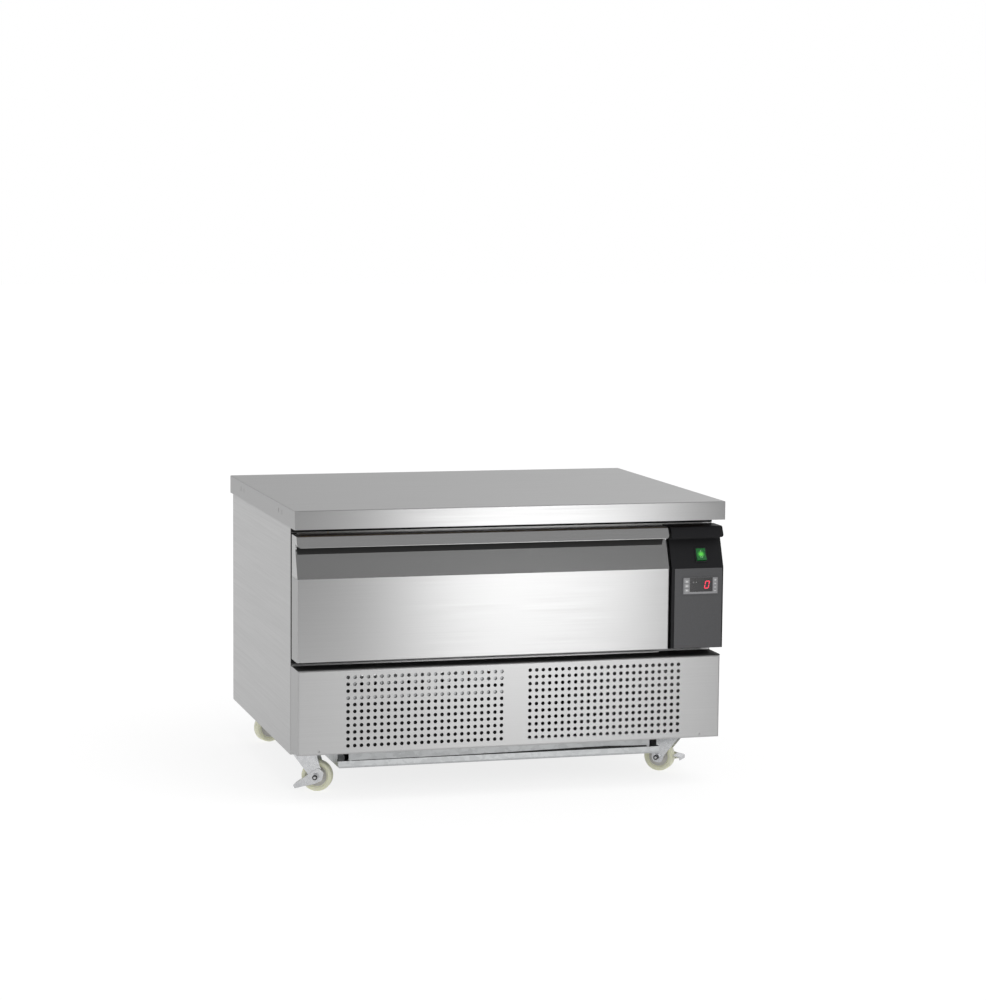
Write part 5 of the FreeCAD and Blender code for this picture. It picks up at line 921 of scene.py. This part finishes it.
class COUNTER_OT_rocker(bpy.types.Operator):
    """Marks the two ends of the rocker with a bar and a ring"""

    bl_idname = "counter.rocker"
    bl_label = "Rocker marks"

    def execute(self, context):
        # The rocker rests 9 degrees from the fascia's slope, and its two wings rise from its middle.
        fascia_slope, rest_tip = 68.84, 9
        run, rise, height = 12.6 * MM, 2.6 * MM, 4.5 * MM
        lean = atan2(rise, run)
        pivot = Matrix.Translation(Vector(JOINTS["rocker_tip"]["pos_m"]))
        base = pivot @ Matrix.Rotation(radians(fascia_slope - rest_tip), 4, "X")
        upper, lower = (
            base @ Matrix.Translation((0, way * run / 2, height)) @ Matrix.Rotation(way * lean, 4, "X")
            for way in (1, -1)
        )
        ink, ring_outer, ring_inner = 0.06 * MM, 2.7 * MM, 1.8 * MM
        shape = bmesh.new()
        plate(shape, rectangle(1.2 * MM, 5 * MM), ink, upper)
        outer = [circle(ring_outer, 0.0), circle(ring_outer, ink)]
        inner = [circle(ring_inner, ink), circle(ring_inner, 0.0)]
        skin(shape, outer + inner, lower, ring=True)
        paint = printed("pale_green_ink", linear("#7fc684"))
        piece("rocker_marks", shape, "rocker", [paint])
        return {"FINISHED"}


class COUNTER_OT_wheels(bpy.types.Operator):
    """Turns the four wheels of the casters, each with its tread and hub"""

    bl_idname = "counter.wheels"
    bl_label = "Wheels"

    def execute(self, context):
        colours = context.scene.counter_colours
        radius = context.scene.counter_sizes.tread_radius
        tread = wheel_plastic("cast_polyurethane", colours.tread[:], roughness=(0.34, 0.5), soft=0.25)
        hub = wheel_plastic("moulded_grey_nylon", colours.hub[:], roughness=(0.38, 0.55), soft=0.05)
        # One side of the wheel in mm: along the axle from its middle, and out from it.
        side = [
            (13.5, 4.1), (13.5, 6.9), (12.9, 7.2), (12.9, 7.8), (13.5, 8.1), (13.5, 12.2), (13.3, 12.8),
            (12.7, 13.0), (9.6, 13.4), (8.8, 14.0), (8.5, 15.0), (8.5, 20.8), (8.9, 22.0), (9.8, 22.7),
            (10.6, 23.3), (11.0, 24.4), (11.0, 25.8), (10.7, 26.1), (11.0, 26.4), (11.0, 27.9),
            (10.7, 29.3), (9.9, 30.5), (8.8, 31.25), (7.5, 31.5), (3.0, 31.5), (0.5, 31.5), (0.2, 31.35),
        ]
        drawn_radius, hub_radius = 31.5, 0.6 * radius
        both = side + [(-along, far) for along, far in side[::-1]]
        outline = [(along * MM, far * radius / drawn_radius) for along, far in both]
        for corner in CASTERS:
            shape = bmesh.new()
            turn(shape, outline, *axle(corner), WHEEL_STEPS, border=hub_radius, outer=0)
            name, node = "caster_wheel_" + corner, "wheel_" + corner
            made = piece(name, shape, node, [tread, hub], smooth_below=50)
            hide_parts(node)
        return {"FINISHED"}


class COUNTER_OT_casters(bpy.types.Operator):
    """Finishes the forks, plates, bolts and brakes and sets a nut with a dark collar on each end of the
    axles; the dark collar also paints the shade round the nut
    """

    bl_idname = "counter.casters"
    bl_label = "Casters"

    def execute(self, context):
        zinc = bright_zinc(context.scene.counter_colours.zinc[:])
        # The collars are dark nylon, dark also to stand for the shadow round each nut: partly painted shade.
        ring = moulded_plastic("dark_nylon_and_shade_collar", linear("#2b2b2c"), 1 * MM, roughness=(0.4, 0.55))
        # Outlines in mm: along the axle from the fork's outer face, and out from its middle.
        nut = [(0.0, 0.3), (0.0, 2.7), (0.9, 2.6), (1.3, 2.1), (1.4, 0.3)]
        collar = [(0.0, 2.8), (0.0, 5.2), (0.4, 5.1), (0.7, 4.6), (0.7, 3.2), (0.5, 2.8)]
        gap, collar_radius = 0.03, 2.75 * MM
        for corner in CASTERS:
            centre, axis = axle(corner)
            fork = NODES["fork_" + corner].data.vertices
            reach = [(vertex.co - centre).dot(axis) for vertex in fork]
            shape = bmesh.new()
            for end, way in ((max(reach), 1), (min(reach), -1)):
                for outline in (nut, collar):
                    points = [(end + way * (along + gap) * MM, far * MM) for along, far in outline]
                    turn(shape, points, centre, axis, ROUND_STEPS, border=collar_radius, outer=1)
            name, body = "axle_nut_" + corner, "fork_" + corner
            piece(name, shape, body, [zinc, ring], smooth_below=40)
        dress(zinc, "caster_plates", "caster_bolts", "brake_fl", "brake_fr")
        dress(zinc, "fork_fl", "fork_fr", "fork_rl", "fork_rr")
        return {"FINISHED"}


# The stage

# Levels by direction or by place in metres: axis, curve, start and stop on the axis, and level at each.
RANGE = ("From Min", "From Max", "To Min", "To Max")

# The room as metal mirrors it, in shares of white: the wall before the counter, which darkens upwards
# and has a faint paler panel, a paler ceiling, and the wall behind the counter.
ROOM = {
    "wall": ("Z", "LINEAR", 0.12, 0.42, 0.86, 0.18),
    "ceiling": ("Z", "LINEAR", 0.56, 0.72, 0.0, 0.2),
    "behind": ("Y", "SMOOTHSTEP", -0.1, 0.4, 0.0, 1.0),
    "rear": ("X", "LINEAR", 0.16, 0.34, 0.6, 0.8),
}
PANEL_MIDDLE, PANEL_HALF, PANEL_LIGHT = 0.29, 0.1, 0.04

# The floor's glow onto the counter is painted light: most of it from before it, less at the right, hardly
# any from below, where it holds a painted shadow under the cabinet.
FLOOR = {
    "share": ("Y", "LINEAR", -0.75, -0.35, 0.64, 0.44),
    "right": ("X", "LINEAR", 0.35, 0.9, 1.0, 0.72),
}
SHADED, SHADE_RIM, SHADE_LIGHT = (("X", 0.23), ("Y", 0.13)), 0.15, 0.05
FLOOR_GREY, FLOOR_SIDE = (0.25, 0.25, 0.25, 1), 60

# What the cabinet's front mirrors: a window whose right side shifts with the height, the wall round it
# with a low band of its own, and a dusky corner at the left.
FRONT = {
    "window": ("Z", "LINEAR", 0.0, 0.25, 1.2, 2.4),
    "rise": ("X", "SMOOTHSTEP", -0.12, 0.3, 0.0, 1.0),
    "shift": ("Z", "LINEAR", 0.34, 0.44, 0.0, 0.11),
    "wall": ("X", "LINEAR", 0.6, 1.1, 0.55, 0.12),
    "low": ("Z", "LINEAR", 0.05, 0.17, 1.0, 0.0),
    "low_wall": ("X", "LINEAR", -0.2, 0.6, 0.3, -0.5),
    "corner": ("X", "LINEAR", -0.3, 0.15, 1.0, 0.0),
    "dusk": ("Z", "LINEAR", 0.28, 0.46, 0.06, 0.42),
}
WINDOW_RIGHT, LOW_SHIFT = {"From Min": 0.59, "From Max": 0.95, "To Min": 1.0, "To Max": 0.0}, 0.34
CARD_LEFT, CARD_RIGHT, CARD_Y, CARD_TOP = -3, 4, -1.5, 0.8

LAMP_FROM, LAMP_WIDTH = (0.35, -0.75, 1.0), radians(60)
CAMERA_PLACE, FILM_WIDTH = (-1.5347, -5.6070, 1.2141), 36
CAMERA_YAW, CAMERA_PITCH, CAMERA_ROLL = 0.276, 0.111, 0.009


def rays(tree):
    """What kind of ray meets the surface, and whether it comes from the camera, also through glass."""
    path = add(tree, "ShaderNodeLightPath").outputs
    straight = {0: path["Is Camera Ray"], 1: path["Is Transmission Ray"]}
    return path, add(tree, "ShaderNodeMath", straight, operation="MAXIMUM")


def places(tree, kind, table):
    """The three coordinates of a place or direction, and the levels of a table along them."""
    place = add(tree, "ShaderNodeTexCoord").outputs[kind]
    spot = add(tree, "ShaderNodeSeparateXYZ", {0: place}).outputs
    level = {}
    for name, (axis, curve, *span) in table.items():
        values = {"Value": spot[axis], **dict(zip(RANGE, span))}
        level[name] = add(tree, "ShaderNodeMapRange", values, interpolation_type=curve)
    return spot, level


def stage_sheet(scene, name, made, corners):
    """A flat sheet of the stage."""
    mesh = bpy.data.meshes.new(name)
    mesh.from_pydata(corners, [], [(0, 1, 2, 3)])
    mesh.materials.append(made)
    laid = bpy.data.objects.new(name, mesh)
    scene.collection.objects.link(laid)
    return laid


def light_room(scene):
    """The room is white to the eye. Metal sees its walls and ceiling."""
    world = bpy.data.worlds.new("pale_room")
    tree = emptied(world)
    path, seen = rays(tree)
    way, level = places(tree, "Generated", ROOM)
    wall = add(tree, "ShaderNodeMath", {0: level["wall"], 1: level["ceiling"]}, operation="ADD")
    width = {0: way["X"], 1: PANEL_MIDDLE, 2: PANEL_HALF}
    panel = add(tree, "ShaderNodeMath", width, operation="COMPARE")
    ahead = add(tree, "ShaderNodeMath", {0: panel, 1: PANEL_LIGHT, 2: wall}, operation="MULTIPLY_ADD")
    room = add(tree, "ShaderNodeMix", {0: level["behind"], 2: ahead, 3: level["rear"]})
    light = scene.counter_studio.room
    metal = add(tree, "ShaderNodeMix", {0: path["Is Glossy Ray"], 2: light, 3: room})
    strength = add(tree, "ShaderNodeMix", {0: seen, 2: metal, 3: 1.0})
    glow = add(tree, "ShaderNodeBackground", {"Color": (1, 1, 1, 1), "Strength": strength})
    add(tree, "ShaderNodeOutputWorld", {"Surface": glow})
    scene.world = world


def lay_floor(scene):
    """Pale floor: the part of it that glows is white to the eye, and the rest takes the shadow. To all other
    rays it glows as painted light, with a painted shadow under the cabinet.
    """
    made = bpy.data.materials.new("pale_floor")
    tree = emptied(made)
    seen = rays(tree)[1]
    spot, level = places(tree, "Object", FLOOR)
    clear = []
    for axis, half in SHADED:
        away = add(tree, "ShaderNodeMath", {0: spot[axis]}, operation="ABSOLUTE")
        rim = {"Value": away, "From Min": half, "From Max": half + SHADE_RIM}
        clear.append(add(tree, "ShaderNodeMapRange", rim, interpolation_type="SMOOTHSTEP"))
    outside = add(tree, "ShaderNodeMath", {0: clear[0], 1: clear[1]}, operation="MAXIMUM")
    spread = add(tree, "ShaderNodeMath", {0: level["share"], 1: level["right"]}, operation="MULTIPLY")
    terms = {0: outside, 1: spread, 2: SHADE_LIGHT}
    painted_floor_light = add(tree, "ShaderNodeMath", terms, operation="MULTIPLY_ADD")
    strength = add(tree, "ShaderNodeMix", {0: seen, 2: painted_floor_light, 3: scene.counter_studio.floor})
    matt = add(tree, "ShaderNodeBsdfDiffuse", {"Color": FLOOR_GREY})
    light = add(tree, "ShaderNodeEmission", {"Strength": strength})
    both = add(tree, "ShaderNodeAddShader", {0: matt, 1: light})
    add(tree, "ShaderNodeOutputMaterial", {"Surface": both})
    stage_sheet(scene, "floor", made, [(x, y, 0) for x, y in rectangle(FLOOR_SIDE, FLOOR_SIDE)])


def face_front(scene):
    """A card that only metal sees: a dim room with one bright window to the right of the camera."""
    made = bpy.data.materials.new("front_room")
    tree = emptied(made)
    spot, level = places(tree, "Object", FRONT)
    upper = add(tree, "ShaderNodeMath", {0: spot["X"], 1: level["shift"]}, operation="ADD")
    terms = {0: level["low"], 1: LOW_SHIFT, 2: upper}
    slanted = add(tree, "ShaderNodeMath", terms, operation="MULTIPLY_ADD")
    edge = {"Value": slanted, **WINDOW_RIGHT}
    fall = add(tree, "ShaderNodeMapRange", edge, interpolation_type="SMOOTHSTEP")
    pane = add(tree, "ShaderNodeMath", {0: level["rise"], 1: fall}, operation="MULTIPLY")
    terms = {0: level["low"], 1: level["low_wall"], 2: level["wall"]}
    base = add(tree, "ShaderNodeMath", terms, operation="MULTIPLY_ADD")
    shade = add(tree, "ShaderNodeMath", {0: level["corner"], 1: level["dusk"]}, operation="MULTIPLY")
    wall = add(tree, "ShaderNodeMath", {0: base, 1: shade}, operation="SUBTRACT", use_clamp=True)
    terms = {0: pane, 1: level["window"], 2: wall}
    strength = add(tree, "ShaderNodeMath", terms, operation="MULTIPLY_ADD")
    light = add(tree, "ShaderNodeEmission", {"Strength": strength})
    add(tree, "ShaderNodeOutputMaterial", {"Surface": light})
    across, up = (CARD_LEFT, CARD_RIGHT, CARD_RIGHT, CARD_LEFT), (0, 0, CARD_TOP, CARD_TOP)
    card = stage_sheet(scene, "front_room", made, [(x, CARD_Y, z) for x, z in zip(across, up)])
    card.visible_camera = False
    card.visible_diffuse = False
    card.visible_shadow = False
    card.visible_transmission = False


def hang_lamp(scene):
    """A wide soft lamp to the right, in front of the counter and above it."""
    lamp = bpy.data.lights.new("soft_lamp", "SUN")
    lamp.energy = scene.counter_studio.lamp
    lamp.angle = LAMP_WIDTH
    hung = bpy.data.objects.new("soft_lamp", lamp)
    hung.rotation_euler = Vector(LAMP_FROM).to_track_quat("Z", "Y").to_euler()
    hung.visible_glossy = False
    scene.collection.objects.link(hung)


def set_camera(scene):
    """The camera looks down a little, from the left of the counter's middle."""
    lens = bpy.data.cameras.new("camera")
    lens.lens = scene.counter_studio.lens
    lens.sensor_width = FILM_WIDTH
    eye = bpy.data.objects.new("camera", lens)
    level = Vector((sin(CAMERA_YAW), cos(CAMERA_YAW), 0)) * cos(CAMERA_PITCH)
    ahead = level - Vector((0, 0, sin(CAMERA_PITCH)))
    right = Vector((cos(CAMERA_YAW), -sin(CAMERA_YAW), 0))
    up = right.cross(ahead)
    turned = cos(CAMERA_ROLL) * right + sin(CAMERA_ROLL) * up
    upright = cos(CAMERA_ROLL) * up - sin(CAMERA_ROLL) * right
    axes = Matrix((turned, upright, -ahead)).transposed().to_4x4()
    eye.matrix_world = Matrix.Translation(CAMERA_PLACE) @ axes
    scene.collection.objects.link(eye)
    scene.camera = eye


class COUNTER_OT_stage(bpy.types.Operator):
    """Lays the pale floor, lights the room and sets the camera"""

    bl_idname = "counter.stage"
    bl_label = "Studio"

    def execute(self, context):
        scene = context.scene
        scene.view_settings.view_transform = "Standard"
        light_room(scene)
        lay_floor(scene)
        face_front(scene)
        hang_lamp(scene)
        set_camera(scene)
        return {"FINISHED"}


OPERATORS = (
    COUNTER_OT_steelwork,
    COUNTER_OT_grille_screws,
    COUNTER_OT_intake,
    COUNTER_OT_pocket_shade_liner,
    COUNTER_OT_seals,
    COUNTER_OT_back_screws,
    COUNTER_OT_machine,
    COUNTER_OT_cold_space,
    COUNTER_OT_controls,
    COUNTER_OT_display,
    COUNTER_OT_controller_film,
    COUNTER_OT_rocker,
    COUNTER_OT_wheels,
    COUNTER_OT_casters,
    COUNTER_OT_stage,
)


class COUNTER_PT_counter(bpy.types.Panel):
    """Colours, sizes and steps of the counter"""

    bl_idname = "COUNTER_PT_counter"
    bl_label = "Refrigerated counter"
    bl_space_type = "VIEW_3D"
    bl_region_type = "UI"
    bl_category = "Counter"

    def draw(self, context):
        scene = context.scene
        for group in (scene.counter_colours, scene.counter_sizes, scene.counter_studio):
            box = self.layout.box()
            for name in group.__annotations__:
                box.prop(group, name)
        for operator in OPERATORS:
            self.layout.operator(operator.bl_idname)


CLASSES = (CounterColours, CounterSizes, CounterStudio, *OPERATORS, COUNTER_PT_counter)


def register():
    for each in CLASSES:
        bpy.utils.register_class(each)
    bpy.types.Scene.counter_colours = PointerProperty(type=CounterColours)
    bpy.types.Scene.counter_sizes = PointerProperty(type=CounterSizes)
    bpy.types.Scene.counter_studio = PointerProperty(type=CounterStudio)


def unregister():
    del bpy.types.Scene.counter_colours
    del bpy.types.Scene.counter_sizes
    del bpy.types.Scene.counter_studio
    for each in reversed(CLASSES):
        bpy.utils.unregister_class(each)


def main():
    register()
    for operator in OPERATORS:
        name = operator.bl_idname.removeprefix("counter.")
        getattr(bpy.ops.counter, name)()


if __name__ == "__main__":
    main()
